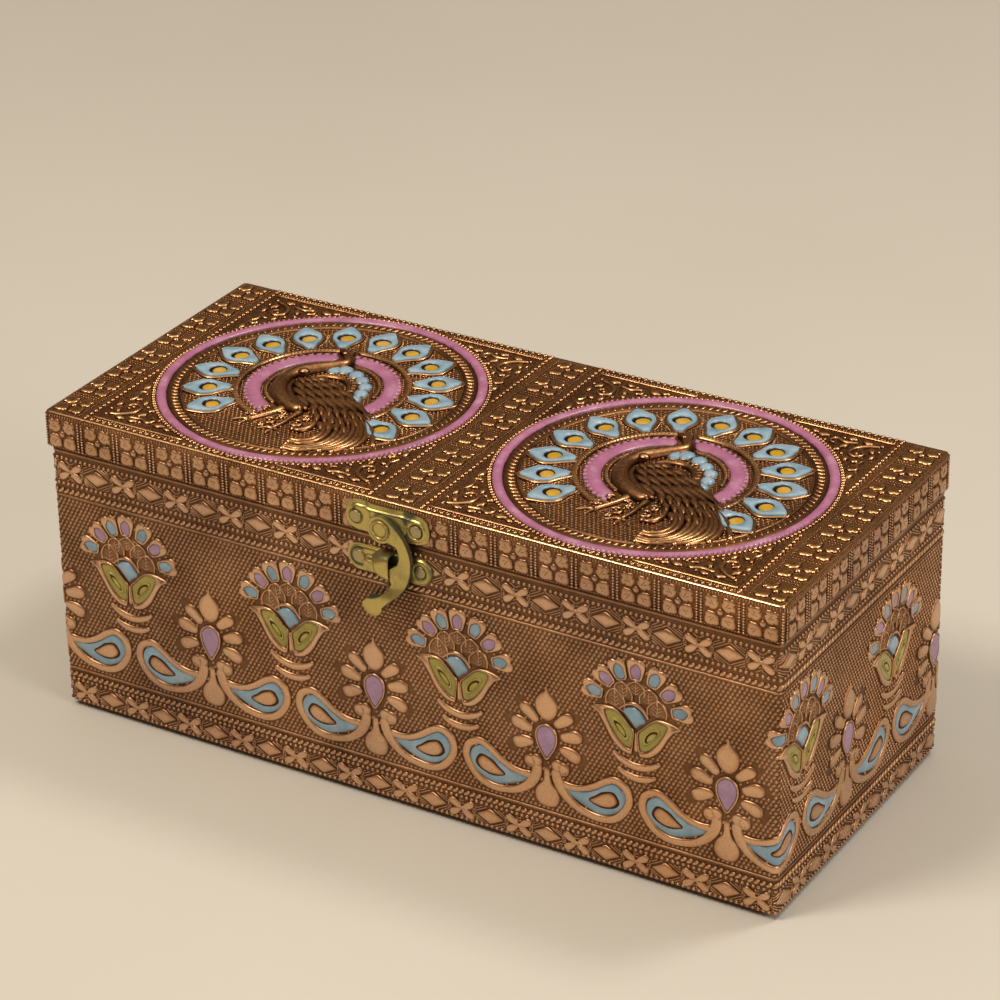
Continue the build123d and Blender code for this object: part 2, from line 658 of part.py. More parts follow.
# Hinge leaves: the body leaf has the two end knuckles, the lid leaf the middle one
for hinge_name, hinge_x in [("left", hinge_centres[0]), ("right", hinge_centres[1])]:
    hinge_start = hinge_x - hinge_length / 2
    with BuildPart() as body_leaf:
        with BuildSketch(back_plane(back_face)):
            with Locations((-hinge_x, seam_middle)):
                Rectangle(hinge_length, hinge_leaf_reach, align=(Align.CENTER, Align.MAX))
        extrude(amount=hinge_leaf_thickness)
        fillet(body_leaf.edges().filter_by(Axis.Y).group_by(Axis.Z)[0], hinge_leaf_corner)
        with BuildSketch(back_plane(back_face)):
            with Locations((-hinge_x, seam_middle)):
                Rectangle(hinge_length - 2 * hinge_end_knuckle, hinge_notch,
                          align=(Align.CENTER, Align.MAX))
        extrude(amount=hinge_leaf_thickness, mode=Mode.SUBTRACT)
        hinge_knuckle(hinge_start, hinge_end_knuckle)
        hinge_knuckle(hinge_start + hinge_length - hinge_end_knuckle, hinge_end_knuckle)
        hinge_bore(hinge_start)
        drill(back_plane(back_face + hinge_leaf_thickness), hinge_nail_places(-1),
              nail_shank_radius + nail_hole_clearance, hinge_leaf_thickness)
    body_leaf.part.label = f"{hinge_name}_hinge_body_leaf"
    export_step(body_leaf.part, f"parts/{hinge_name}_hinge_body_leaf.step")

    with BuildPart() as lid_leaf:
        with BuildSketch(back_plane(back_face)):
            with Locations((-hinge_x, seam_middle)):
                Rectangle(hinge_length, hinge_leaf_reach, align=(Align.CENTER, Align.MIN))
        extrude(amount=hinge_leaf_thickness)
        fillet(lid_leaf.edges().filter_by(Axis.Y).group_by(Axis.Z)[-1], hinge_leaf_corner)
        for side in (-1, 1):
            with BuildSketch(back_plane(back_face)):
                with Locations((-hinge_x + side * (hinge_length + hinge_middle_knuckle) / 4, seam_middle)):
                    Rectangle((hinge_length - hinge_middle_knuckle) / 2, hinge_notch,
                              align=(Align.CENTER, Align.MIN))
            extrude(amount=hinge_leaf_thickness, mode=Mode.SUBTRACT)
        hinge_knuckle(hinge_start + hinge_end_knuckle + hinge_knuckle_gap, hinge_middle_knuckle)
        hinge_bore(hinge_start)
        drill(back_plane(back_face + hinge_leaf_thickness), hinge_nail_places(1),
              nail_shank_radius + nail_hole_clearance, hinge_leaf_thickness)
    lid_leaf.part.label = f"{hinge_name}_hinge_lid_leaf"
    export_step(lid_leaf.part, f"parts/{hinge_name}_hinge_lid_leaf.step")

    with BuildPart() as hinge_pin:
        with BuildSketch(Plane.YZ.offset(hinge_start)):
            with Locations((hinge_axis_y, seam_middle)):
                Circle(hinge_pin_radius)
        extrude(amount=hinge_length)
        for head_x in (hinge_start - hinge_pin_head, hinge_start + hinge_length):
            with BuildSketch(Plane.YZ.offset(head_x)):
                with Locations((hinge_axis_y, seam_middle)):
                    Circle(hinge_pin_head_radius)
            extrude(amount=hinge_pin_head)
    hinge_pin.part.label = f"{hinge_name}_hinge_pin"
    export_step(hinge_pin.part, f"parts/{hinge_name}_hinge_pin.step")


def nails(face, places, head_radius, head_height, shank_length):
    """A group of nails with rounded heads on a face and shanks behind it."""
    with BuildPart() as group:
        with BuildSketch(face):
            with Locations(*places):
                Circle(head_radius)
        extrude(amount=head_height)
        outward = Axis(face.origin, face.z_dir)
        fillet(group.faces().filter_by(outward).group_by(outward)[-1].edges(), head_height / 2)
        with BuildSketch(face):
            with Locations(*places):
                Circle(nail_shank_radius)
        extrude(amount=-shank_length)
    return group.part


hinge_shank_length = nail_shank_length + hinge_leaf_thickness
for body_name, side in [("body", -1), ("lid", 1)]:
    hinge_nails = nails(back_plane(back_face + hinge_leaf_thickness), hinge_nail_places(side),
                        hinge_nail_head_radius, hinge_nail_head_height, hinge_shank_length)
    hinge_nails.label = f"hinge_{body_name}_nails"
    export_step(hinge_nails, f"parts/hinge_{body_name}_nails.step")

# Latch plate on the lid rim: a pressed sheet with a raised, hollow boss under the hook
latch_boss_face = lid_front_face - latch_plate_sheet - latch_boss_rise

with BuildPart() as latch_plate:
    with BuildSketch(front_plane(lid_front_face)):
        with Locations((latch_plate_middle_x, latch_plate_z)):
            SlotOverall(latch_plate_length, latch_plate_height)
        with Locations((latch_step_x, latch_plate_z + latch_plate_height / 2)):
            Circle(latch_step_depth, mode=Mode.SUBTRACT)
    extrude(amount=latch_plate_sheet)
    with BuildSketch(front_plane(lid_front_face)):
        with Locations((latch_pivot_x + latch_boss_reach / 2, latch_plate_z)):
            SlotOverall(latch_boss_reach + 2 * latch_boss_radius, 2 * latch_boss_radius)
    extrude(amount=latch_plate_sheet + latch_boss_rise)
    fillet(latch_plate.faces().filter_by(Axis.Y).sort_by(Axis.Y)[0].edges(), latch_boss_rise / 2)
    with BuildSketch(front_plane(lid_front_face)):
        with Locations((latch_pivot_x + latch_boss_reach / 2, latch_plate_z)):
            SlotOverall(latch_boss_reach + 2 * latch_boss_radius - 2 * latch_plate_sheet,
                        2 * latch_boss_radius - 2 * latch_plate_sheet)
    extrude(amount=latch_boss_rise, mode=Mode.SUBTRACT)
    drill(front_plane(lid_front_face - latch_plate_sheet), latch_nail_places,
          nail_shank_radius + nail_hole_clearance, latch_plate_sheet)
    drill(front_plane(latch_boss_face), [(latch_pivot_x, latch_pivot_z)], rivet_barrel_radius,
          latch_plate_sheet + latch_boss_rise)
latch_plate.part.label = "latch_plate"
export_step(latch_plate.part, "parts/latch_plate.step")

latch_nails = nails(front_plane(lid_front_face - latch_plate_sheet), latch_nail_places,
                    latch_nail_head_radius, latch_nail_head_height,
                    nail_shank_length + latch_plate_sheet)
latch_nails.label = "latch_plate_nails"
export_step(latch_nails, "parts/latch_plate_nails.step")

# Hollow rivet that the hook turns on
with BuildPart() as latch_rivet:
    with BuildSketch(front_plane(lid_front_face)):
        with Locations((latch_pivot_x, latch_pivot_z)):
            Circle(rivet_barrel_radius)
    extrude(amount=lid_front_face - hook_front + hook_clearance)
    with BuildSketch(front_plane(hook_front - hook_clearance)):
        with Locations((latch_pivot_x, latch_pivot_z)):
            Circle(rivet_flange_radius)
    extrude(amount=rivet_flange)
    fillet(latch_rivet.faces().sort_by(Axis.Y)[0].edges(), rivet_flange / 2)
    with BuildSketch(front_plane(hook_front - hook_clearance - rivet_flange)):
        with Locations((latch_pivot_x, latch_pivot_z)):
            Circle(rivet_bore_radius)
    extrude(amount=-hook_thickness - rivet_flange, mode=Mode.SUBTRACT)
latch_rivet.part.label = "latch_rivet"
export_step(latch_rivet.part, "parts/latch_rivet.step")

# Hook: a crescent from the pivot disc to the barb, with a thumb tab below
hook_outer_top = (3.0, 3.1)
hook_outer_middle = (10.1, -9.2)
hook_outer_low = (3.3, -22.2)
hook_tab_right = (0.7, -25.0)
hook_tab_bottom = (-2.2, -28.3)
hook_tab_left = (-6.1, -24.6)
hook_tab_top = (-4.4, -22.8)
hook_tail_middle = (0.4, -20.9)
hook_under_barb = (3.4, -16.6)
hook_barb_low = (2.2, -15.4)
hook_barb_tip = (1.1, -13.9)
hook_barb_top = (1.5, -13.1)
hook_throat_low = (5.2, -10.4)
hook_throat_high = (5.2, -4.4)
hook_throat_start = (2.3, -3.6)
hook_throat_middle = (6.2, -7.4)

with BuildPart() as latch_hook:
    with BuildSketch(Plane(origin=(latch_pivot_x, hook_back, latch_pivot_z), x_dir=(1, 0, 0),
                           z_dir=(0, -1, 0))):
        with BuildLine():
            ThreePointArc(hook_outer_top, hook_outer_middle, hook_outer_low)
            Line(hook_outer_low, hook_tab_right)
            ThreePointArc(hook_tab_right, hook_tab_bottom, hook_tab_left)
            Line(hook_tab_left, hook_tab_top)
            ThreePointArc(hook_tab_top, hook_tail_middle, hook_under_barb)
            Line(hook_under_barb, hook_barb_low)
            ThreePointArc(hook_barb_low, hook_barb_tip, hook_barb_top)
            Line(hook_barb_top, hook_throat_low)
            ThreePointArc(hook_throat_low, hook_throat_middle, hook_throat_high)
            Line(hook_throat_high, hook_throat_start)
            Line(hook_throat_start, (0, 0))
            Line((0, 0), hook_outer_top)
        make_face()
        Circle(hook_disc_radius)
        Circle(rivet_barrel_radius + rivet_running_clearance, mode=Mode.SUBTRACT)
    extrude(amount=hook_thickness)
latch_hook.part.label = "latch_hook"
export_step(latch_hook.part, "parts/latch_hook.step")

# Catch plate on the body, with the raised loop that the barb slides into
catch_face = body_front_face - catch_sheet
loop_middle_x = (catch_loop_left_x + catch_loop_right_x) / 2
loop_length = catch_loop_right_x - catch_loop_left_x

with BuildPart() as catch_plate:
    with BuildSketch(front_plane(body_front_face)):
        with Locations((loop_middle_x, catch_z)):
            Rectangle(loop_length, catch_loop_height)
    extrude(amount=catch_sheet + catch_loop_rise)
    fillet(catch_plate.faces().sort_by(Axis.Y)[0].edges().filter_by(Axis.X)
           + catch_plate.faces().sort_by(Axis.Y)[0].edges().filter_by(Axis.Z).sort_by(Axis.X)[0],
           catch_loop_round)
    with BuildSketch(front_plane(body_front_face)):
        with Locations((catch_plate_middle_x, catch_z)):
            SlotOverall(catch_plate_length, catch_plate_height)
    extrude(amount=catch_sheet)
    with BuildSketch(front_plane(catch_face)):
        with Locations(((catch_nail_left_x + catch_loop_left_x) / 2 + latch_nail_head_radius / 2, catch_z)):
            Rectangle(catch_loop_left_x - catch_nail_left_x - latch_nail_head_radius, catch_ridge_width)
    extrude(amount=catch_ridge_rise)
    with BuildSketch(front_plane(catch_face)):
        with Locations((catch_loop_right_x, catch_z)):
            Rectangle(loop_length - catch_sheet, catch_loop_height - 2 * catch_sheet,
                      align=(Align.MAX, Align.CENTER))
    extrude(amount=catch_loop_rise - catch_sheet, mode=Mode.SUBTRACT)
    drill(front_plane(catch_face), catch_nail_places, nail_shank_radius + nail_hole_clearance,
          catch_sheet)
catch_plate.part.label = "catch_plate"
export_step(catch_plate.part, "parts/catch_plate.step")

catch_nails = nails(front_plane(catch_face), catch_nail_places, latch_nail_head_radius,
                    latch_nail_head_height, nail_shank_length + catch_sheet)
catch_nails.label = "catch_nails"
export_step(catch_nails, "parts/catch_nails.step")
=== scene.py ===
import json
import math

import bmesh
import bpy
import numpy as np
from mathutils import Euler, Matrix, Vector
from mathutils.geometry import delaunay_2d_cdt


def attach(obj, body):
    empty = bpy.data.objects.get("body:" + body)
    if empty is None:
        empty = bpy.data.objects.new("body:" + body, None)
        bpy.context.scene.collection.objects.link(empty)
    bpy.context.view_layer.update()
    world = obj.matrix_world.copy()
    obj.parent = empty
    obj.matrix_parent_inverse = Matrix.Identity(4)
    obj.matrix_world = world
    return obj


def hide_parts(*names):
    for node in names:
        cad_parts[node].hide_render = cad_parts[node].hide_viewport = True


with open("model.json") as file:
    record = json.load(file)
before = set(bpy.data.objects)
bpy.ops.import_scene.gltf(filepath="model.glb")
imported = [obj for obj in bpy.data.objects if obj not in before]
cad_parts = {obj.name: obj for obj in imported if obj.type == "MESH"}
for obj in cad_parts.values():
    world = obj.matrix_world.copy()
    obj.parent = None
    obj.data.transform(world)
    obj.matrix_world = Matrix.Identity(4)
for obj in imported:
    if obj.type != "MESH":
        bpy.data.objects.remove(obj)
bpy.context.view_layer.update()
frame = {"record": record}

MM = 0.001

# Sizes of the box in mm, the same as in the CAD model
LID_X, LID_Y = 125.0, 53.75
BODY_X, BODY_FRONT, BODY_BACK = 124.0, -52.75, 53.75
BODY_LOW, BODY_TOP = 2.0, 91.1
LID_LOW, LID_TOP = 91.6, 103.2
CORNER = 1.6

# What is left of the relief under a plate that lies on it
PRESSED = 0.02

# The two hinges: their middles, half their length
HINGE_X, HINGE_HALF = 75.0, 12.5

# Paints of the embossed sheet, in the order of the material slots
COPPER, BLUE, LILAC, OLIVE, PINK, GOLD = range(6)

# Corners of a quad in the order that turns its face the other way
OTHER_WAY = (0, 3, 2, 1)

# Cross sections of a raised line: place across, from -1 to 1, and height
ROUND = ((-1, 0), (-0.78, 0.66), (0, 1), (0.78, 0.66), (1, 0))
FLAT = ((-1, 0), (-0.93, 0.6), (-0.72, 0.94), (0, 1.0), (0.72, 0.94), (0.93, 0.6), (1, 0))
WIRE = ((-1, 0), (0, 1), (1, 0))


def trace(points, closed=False):
    """A dense smooth line through the points, and the distance gone at each place on it."""
    p = np.asarray(points, float)
    if closed:
        a, b, c, d = np.roll(p, 1, 0), p, np.roll(p, -1, 0), np.roll(p, -2, 0)
    else:
        ext = np.vstack([2 * p[0] - p[1], p, 2 * p[-1] - p[-2]])
        a, b, c, d = ext[:-3], ext[1:-2], ext[2:-1], ext[3:]
    t = np.linspace(0, 1, 10, endpoint=False)[:, None, None]
    dense = 0.5 * (2 * b + (c - a) * t + (2 * a - 5 * b + 4 * c - d) * t ** 2
                   + (3 * b - a - 3 * c + d) * t ** 3)
    dense = dense.transpose(1, 0, 2).reshape(-1, p.shape[1])
    dense = np.vstack([dense, p[:1] if closed else p[-1:]])
    steps = np.hypot(*np.diff(dense[:, :2], axis=0).T)
    return dense, np.concatenate([[0], np.cumsum(steps)])


def along(dense, gone, places):
    """The points of a dense line at these distances along it."""
    return np.column_stack([np.interp(places, gone, dense[:, k]) for k in range(dense.shape[1])])


def ring_of(points, step, closed=True):
    """Even points round a smooth closed outline."""
    dense, gone = trace(points, closed)
    count = max(6, int(math.ceil(gone[-1] / step)))
    return along(dense, gone, np.linspace(0, gone[-1], count, endpoint=not closed))


def circle(radius, middle=(0, 0), count=12, radius_v=None):
    """Even points on a circle, or on an ellipse where the second radius is given."""
    turn = np.linspace(0, 2 * math.pi, count, endpoint=False)
    return np.column_stack([middle[0] + radius * np.cos(turn),
                            middle[1] + (radius_v or radius) * np.sin(turn)])


def placed(points, middle=(0, 0), angle=0.0, flip=False, scale=1.0):
    """Points turned by an angle in degrees about their origin and moved; further columns stay."""
    p = np.array(points, float)
    if flip:
        p[:, 1] = -p[:, 1]
    p[:, :2] *= scale
    turn = math.radians(angle)
    u = p[:, 0] * math.cos(turn) - p[:, 1] * math.sin(turn) + middle[0]
    v = p[:, 0] * math.sin(turn) + p[:, 1] * math.cos(turn) + middle[1]
    p[:, 0], p[:, 1] = u, v
    return p


def polar(radius, degrees):
    """The place at this distance and angle from the origin."""
    turn = math.radians(degrees)
    return radius * math.cos(turn), radius * math.sin(turn)


def row_of(u, v):
    """Places in a row, where u or v may be one number for all of them."""
    return np.column_stack(np.broadcast_arrays(u, v))


def net_quads(rows, columns, closed_along=False, closed_across=False):
    """The corner numbers of the quads between points given as rows."""
    index = np.arange(rows * columns).reshape(rows, columns)
    if closed_along:
        index = np.vstack([index, index[:1]])
    if closed_across:
        index = np.hstack([index, index[:, :1]])
    return np.stack([index[:-1, :-1], index[1:, :-1], index[1:, 1:], index[:-1, 1:]], -1).reshape(-1, 4)


def arc(radius, start, end, middle=(0, 0), width=None):
    """Points on an arc between two angles in degrees, with a half width as third column."""
    count = max(3, int(abs(end - start) / 6) + 2)
    turn = np.radians(np.linspace(start, end, count))
    p = np.column_stack([middle[0] + radius * np.cos(turn), middle[1] + radius * np.sin(turn)])
    if width is not None:
        p = np.column_stack([p, np.full(count, width / 2)])
    return p


def inside(places, outline):
    """Which places lie inside a closed outline."""
    x, y = places[:, 0], places[:, 1]
    found = np.zeros(len(places), bool)
    last = outline[-1]
    for point in outline:
        crosses = (point[1] > y) != (last[1] > y)
        with np.errstate(divide="ignore", invalid="ignore"):
            cut = (last[0] - point[0]) * (y - point[1]) / (last[1] - point[1]) + point[0]
        found ^= crosses & (x < cut)
        last = point
    return found


class Relief:
    """Raised forms on a flat sheet: u across, v up and h out of the sheet, all in mm."""

    def __init__(self):
        self.points, self.shade, self.faces, self.paint = [], [], [], []
        self.count = 0
        self.discs, self.outlines = [], []

    def add(self, points, shade, faces, paint):
        self.points.append(np.asarray(points, float))
        self.shade.append(np.asarray(shade, float))
        self.faces.append(np.asarray(faces, int) + self.count)
        self.paint.append(np.full(len(faces), paint))
        self.count += len(points)

    def rows(self, points, shade, paint, closed_along=False, closed_across=False):
        """A net of quads over points given as rows."""
        quads = net_quads(*points.shape[:2], closed_along, closed_across)
        self.add(points.reshape(-1, 3), shade.reshape(-1), quads, paint)

    def stroke(self, points, height, paint=COPPER, closed=False, step=0.7, section=ROUND,
               base=0.0, width=None, worn=1.0, clear=0.12):
        """A raised line along a smooth path, rounded off at its ends."""
        p = np.asarray(points, float)
        if width is not None:
            p = np.column_stack([p[:, :2], np.full(len(p), width / 2)])
        dense, gone = trace(p, closed)
        length = gone[-1]
        if closed:
            places = np.linspace(0, length, max(6, math.ceil(length / step)), endpoint=False)
        else:
            first, last = min(p[0, 2], length / 2), min(p[-1, 2], length / 2)
            even = np.linspace(0, length, max(2, math.ceil(length / step)) + 1)
            even = even[(even > 1.25 * first) & (even < length - 1.25 * last)]
            places = np.concatenate([first * np.array([0, 0.12, 0.45, 1]), even,
                                     length - last * np.array([1, 0.45, 0.12, 0])])
        c = along(dense, gone, places)
        if closed:
            tangent = np.roll(c[:, :2], -1, 0) - np.roll(c[:, :2], 1, 0)
        else:
            tangent = along(dense, gone, places + 0.05)[:, :2] - along(dense, gone, places - 0.05)[:, :2]
        tangent /= np.maximum(np.hypot(*tangent.T), 1e-9)[:, None]
        side = np.column_stack([-tangent[:, 1], tangent[:, 0]])
        half, rise = c[:, 2].copy(), np.ones(len(c))
        if not closed:
            for gap, reach in ((places, first), (length - places, last)):
                q = np.clip(gap / reach, 0, 1)
                cap = np.sqrt(np.clip(1 - (1 - q) ** 2, 0.012, 1))
                half *= cap
                rise *= cap ** 0.7
        shape = np.array(section)
        flat = c[:, None, :2] + side[:, None, :] * (half[:, None] * shape[None, :, 0])[..., None]
        high = rise[:, None] * shape[None, :, 1]
        net = np.concatenate([flat, (base + height * high)[..., None]], -1)
        self.rows(net, high * worn, paint, closed_along=closed)
        if clear is not None:
            even = ring_of(p, max(0.4, float(c[:, 2].min()) * 0.8), closed)
            self.discs.append(np.column_stack([even[:, :2], even[:, 2] + clear]))

    def mound(self, outline, height, paint=COPPER, base=0.0, centre=None, crown=4.0, step=0.8,
              sharp=False, worn=1.0, clear=0.15, low=0.0, scales=(1, 0.95, 0.84, 0.6, 0.3), bevel=None):
        """A raised form inside an outline that can be seen whole from its centre."""
        edge = np.asarray(outline, float)[:, :2] if sharp else ring_of(outline, step)[:, :2]
        mid = np.asarray(centre, float) if centre is not None else edge.mean(0)
        scales = np.array(scales)
        high = (1 - scales ** crown) ** 0.5 if bevel is None else np.array(bevel)
        net = mid + (edge - mid)[None] * scales[:, None, None]
        net = np.concatenate([net, np.broadcast_to((base + height * high)[:, None, None],
                                                   net.shape[:2] + (1,))], -1)
        n, k = net.shape[:2]
        shade = np.broadcast_to((low + (1 - low) * high)[:, None] * worn, (n, k))
        self.rows(net, shade, paint, closed_across=True)
        top = np.vstack([net[-1], [mid[0], mid[1], base + height]])
        index = np.arange(k)
        fan = np.column_stack([index, np.roll(index, -1), np.full(k, k)])
        self.add(top, np.full(k + 1, worn * (low + (1 - low) * high[-1])), fan, paint)
        if clear is not None:
            reach = np.hypot(*(edge - mid).T)[:, None]
            self.outlines.append(mid + (edge - mid) * (1 + clear / np.maximum(reach, 0.1)))

    def cell(self, outline, hollow, height, floor, paint, rim=COPPER, base=0.0, step=0.7,
             deep=0.1, full=0.75, clear=0.2):
        """A raised rim round a painted hollow; both are seen whole from the hollow's middle."""
        dome = 0.08
        inner = trace(hollow, True)[0][:-1, :2]
        mid = inner.mean(0)
        out = ring_of(outline, step)[:, :2] - mid
        turn, reach = np.arctan2(out[:, 1], out[:, 0]), np.hypot(*out.T)
        way, far = np.arctan2(*(inner - mid).T[::-1]), np.hypot(*(inner - mid).T)
        order = way.argsort()
        near = np.minimum(np.interp(turn, way[order], far[order], period=2 * math.pi), reach * 0.95)
        gap = reach - near
        unit = out / reach[:, None]

        def net(rings):
            return np.stack([np.column_stack([mid + unit * r[:, None], np.full(len(r), z)])
                             for r, z, _ in rings])

        edge = [(reach, base, 0.0), (reach - np.minimum(gap * 0.2, 0.22), base + height * 0.72, 0.7),
                (reach - np.minimum(gap * 0.4, 0.5), base + height, 1.0),
                (near + np.minimum(gap * 0.25, 0.2), base + height * 0.97, 1.0),
                (near, base + floor, 0.15)]
        count = len(out)
        self.rows(net(edge), np.repeat([[shade] for _, _, shade in edge], count, 1), rim,
                  closed_across=True)
        inside_rings = [(near, base + floor, deep), (near * 0.84, base + floor + dome * 0.7, full),
                        (near * 0.45, base + floor + dome, full)]
        points = net(inside_rings)
        self.rows(points, np.repeat([[shade] for _, _, shade in inside_rings], count, 1), paint,
                  closed_across=True)
        top = np.vstack([points[-1], [mid[0], mid[1], base + floor + dome]])
        index = np.arange(count)
        self.add(top, np.full(count + 1, full),
                 np.column_stack([index, np.roll(index, -1), np.full(count, count)]), paint)
        if clear is not None:
            self.outlines.append(mid + out * (1 + clear / np.maximum(reach, 0.1))[:, None])

    def stamp(self, places, width, height, length=None, angle=0.0, sides=8, paint=COPPER, worn=1.0,
              scales=(1, 0.8, 0.45), clear=None):
        """The same small bead at many places."""
        places = np.asarray(places, float).reshape(-1, 2)
        if not len(places):
            return
        turn = np.linspace(0, 2 * math.pi, sides, endpoint=False)
        scales = np.array(scales)
        high = (1 - scales ** 2) ** 0.5
        bead = np.concatenate([np.column_stack([s * np.cos(turn), s * np.sin(turn), np.full(sides, z)])
                               for s, z in zip(scales, high)] + [np.array([[0, 0, 1]])])
        shade = bead[:, 2] * worn
        bead = bead * [(length or width) / 2, width / 2, height]
        angle = np.radians(np.broadcast_to(angle, len(places)))
        cos, sin = np.cos(angle)[:, None], np.sin(angle)[:, None]
        points = np.stack([bead[:, 0] * cos - bead[:, 1] * sin + places[:, :1],
                           bead[:, 0] * sin + bead[:, 1] * cos + places[:, 1:],
                           np.broadcast_to(bead[:, 2], (len(places), len(bead)))], -1)
        quads, rings = [], len(scales)
        for r in range(rings - 1):
            for k in range(sides):
                n = (k + 1) % sides
                quads.append((r * sides + k, r * sides + n, (r + 1) * sides + n, (r + 1) * sides + k))
        last = (rings - 1) * sides
        tris = [(last + k, last + (k + 1) % sides, rings * sides) for k in range(sides)]
        shift = (np.arange(len(places)) * len(bead))[:, None, None]
        for faces in (quads, tris):
            self.faces.append((np.array(faces)[None] + shift + self.count).reshape(-1, len(faces[0])))
            self.paint.append(np.full(len(self.faces[-1]), paint))
        self.points.append(points.reshape(-1, 3))
        self.shade.append(np.tile(shade, len(places)))
        self.count += points.shape[0] * points.shape[1]
        if clear is not None:
            self.discs.append(np.column_stack([places, np.full(len(places), width / 2 + clear)]))

    def free(self, places):
        """Which places are clear of every raised form so far."""
        places = np.asarray(places, float)
        taken = np.zeros(len(places), bool)
        if self.discs:
            discs = np.vstack(self.discs)
            for k in range(0, len(places), 500):
                gap = np.hypot(places[k:k + 500, :1] - discs[:, 0], places[k:k + 500, 1:2] - discs[:, 1])
                taken[k:k + 500] = (gap < discs[:, 2]).any(1)
        for outline in self.outlines:
            low, high = outline.min(0), outline.max(0)
            near = ((places > low) & (places < high)).all(1)
            if near.any():
                taken[near] |= inside(places[near], outline)
        return ~taken

    def take(self, other, middle=(0, 0), angle=0.0, flip=False):
        """Adds another relief, turned and moved; flip mirrors it left to right first."""
        turn = math.radians(angle)
        spin = np.array([[math.cos(turn), -math.sin(turn)], [math.sin(turn), math.cos(turn)]])

        def move(p):
            q = p[:, :2] * ([-1, 1] if flip else [1, 1])
            return np.column_stack([q @ spin.T + middle, p[:, 2:]])

        for points in other.points:
            self.points.append(move(points))
        self.shade += other.shade
        self.faces += [faces + self.count for faces in other.faces]
        self.paint += other.paint
        self.count += other.count
        self.discs += [move(d) for d in other.discs]
        self.outlines += [move(o) for o in other.outlines]

    def arrays(self):
        """Points, shades, and faces of one size each with their paint, all facing out."""
        points, shade = np.vstack(self.points), np.concatenate(self.shade)
        groups = []
        for size in (3, 4):
            picked = [k for k, f in enumerate(self.faces) if f.shape[1] == size and len(f)]
            if not picked:
                continue
            faces = np.vstack([self.faces[k] for k in picked])
            paint = np.concatenate([self.paint[k] for k in picked])
            a, b, c, last = (points[faces[:, k]] for k in (0, 1, 2, -1))
            up = (np.cross(c - a, last - b) if size == 4 else np.cross(b - a, c - a))[:, 2]
            faces = np.where((up < 0)[:, None], faces[:, ::-1], faces)
            groups.append((faces, paint))
        return points, shade, groups

    def cut(self, lines):
        """Splits the faces that cross lines of constant u, so that they can follow a corner."""
        points, shade, groups = self.arrays()
        fresh, keep_points, keep_shade, keep_groups = [], points, shade, []
        for faces, paint in groups:
            u = points[faces][..., 0]
            low, high = u.min(1), u.max(1)
            crossed = np.zeros(len(faces), bool)
            for line in lines:
                crossed |= (low < line - 1e-4) & (high > line + 1e-4)
            keep_groups.append((faces[~crossed], paint[~crossed]))
            fresh.append((faces[crossed], paint[crossed]))
        bm = bmesh.new()
        tone = bm.verts.layers.float.new("relief")
        made = {}
        for faces, paint in fresh:
            for face, colour in zip(faces.tolist(), paint.tolist()):
                corners = []
                for i in face:
                    if i not in made:
                        made[i] = bm.verts.new(points[i])
                        made[i][tone] = shade[i]
                    if made[i] not in corners:
                        corners.append(made[i])
                if len(corners) > 2 and not bm.faces.get(corners):
                    bm.faces.new(corners).material_index = colour
        for line in lines:
            bmesh.ops.bisect_plane(bm, geom=list(bm.verts) + list(bm.edges) + list(bm.faces),
                                   plane_co=(line, 0, 0), plane_no=(1, 0, 0))
        bmesh.ops.triangulate(bm, faces=[f for f in bm.faces if len(f.verts) > 4])
        bm.verts.index_update()
        self.__init__()
        self.points, self.shade, self.count = [keep_points], [keep_shade], len(keep_points)
        self.faces = [f for f, _ in keep_groups]
        self.paint = [p for _, p in keep_groups]
        if len(bm.faces):
            first = self.count
            self.points.append(np.array([v.co for v in bm.verts]))
            self.shade.append(np.array([v[tone] for v in bm.verts]))
            self.count += len(bm.verts)
            for size in (3, 4):
                some = [f for f in bm.faces if len(f.verts) == size]
                if some:
                    self.faces.append(np.array([[v.index for v in f.verts] for f in some]) + first)
                    self.paint.append(np.array([f.material_index for f in some]))
        bm.free()


def press_flat(points, boxes):
    """Points inside a box of the sheet lie nearly flat, as under a plate."""
    for u_low, u_high, v_low, v_high in boxes:
        under = ((points[:, 0] > u_low) & (points[:, 0] < u_high)
                 & (points[:, 1] > v_low) & (points[:, 1] < v_high))
        points[under, 2] = np.minimum(points[under, 2], PRESSED)
    return points


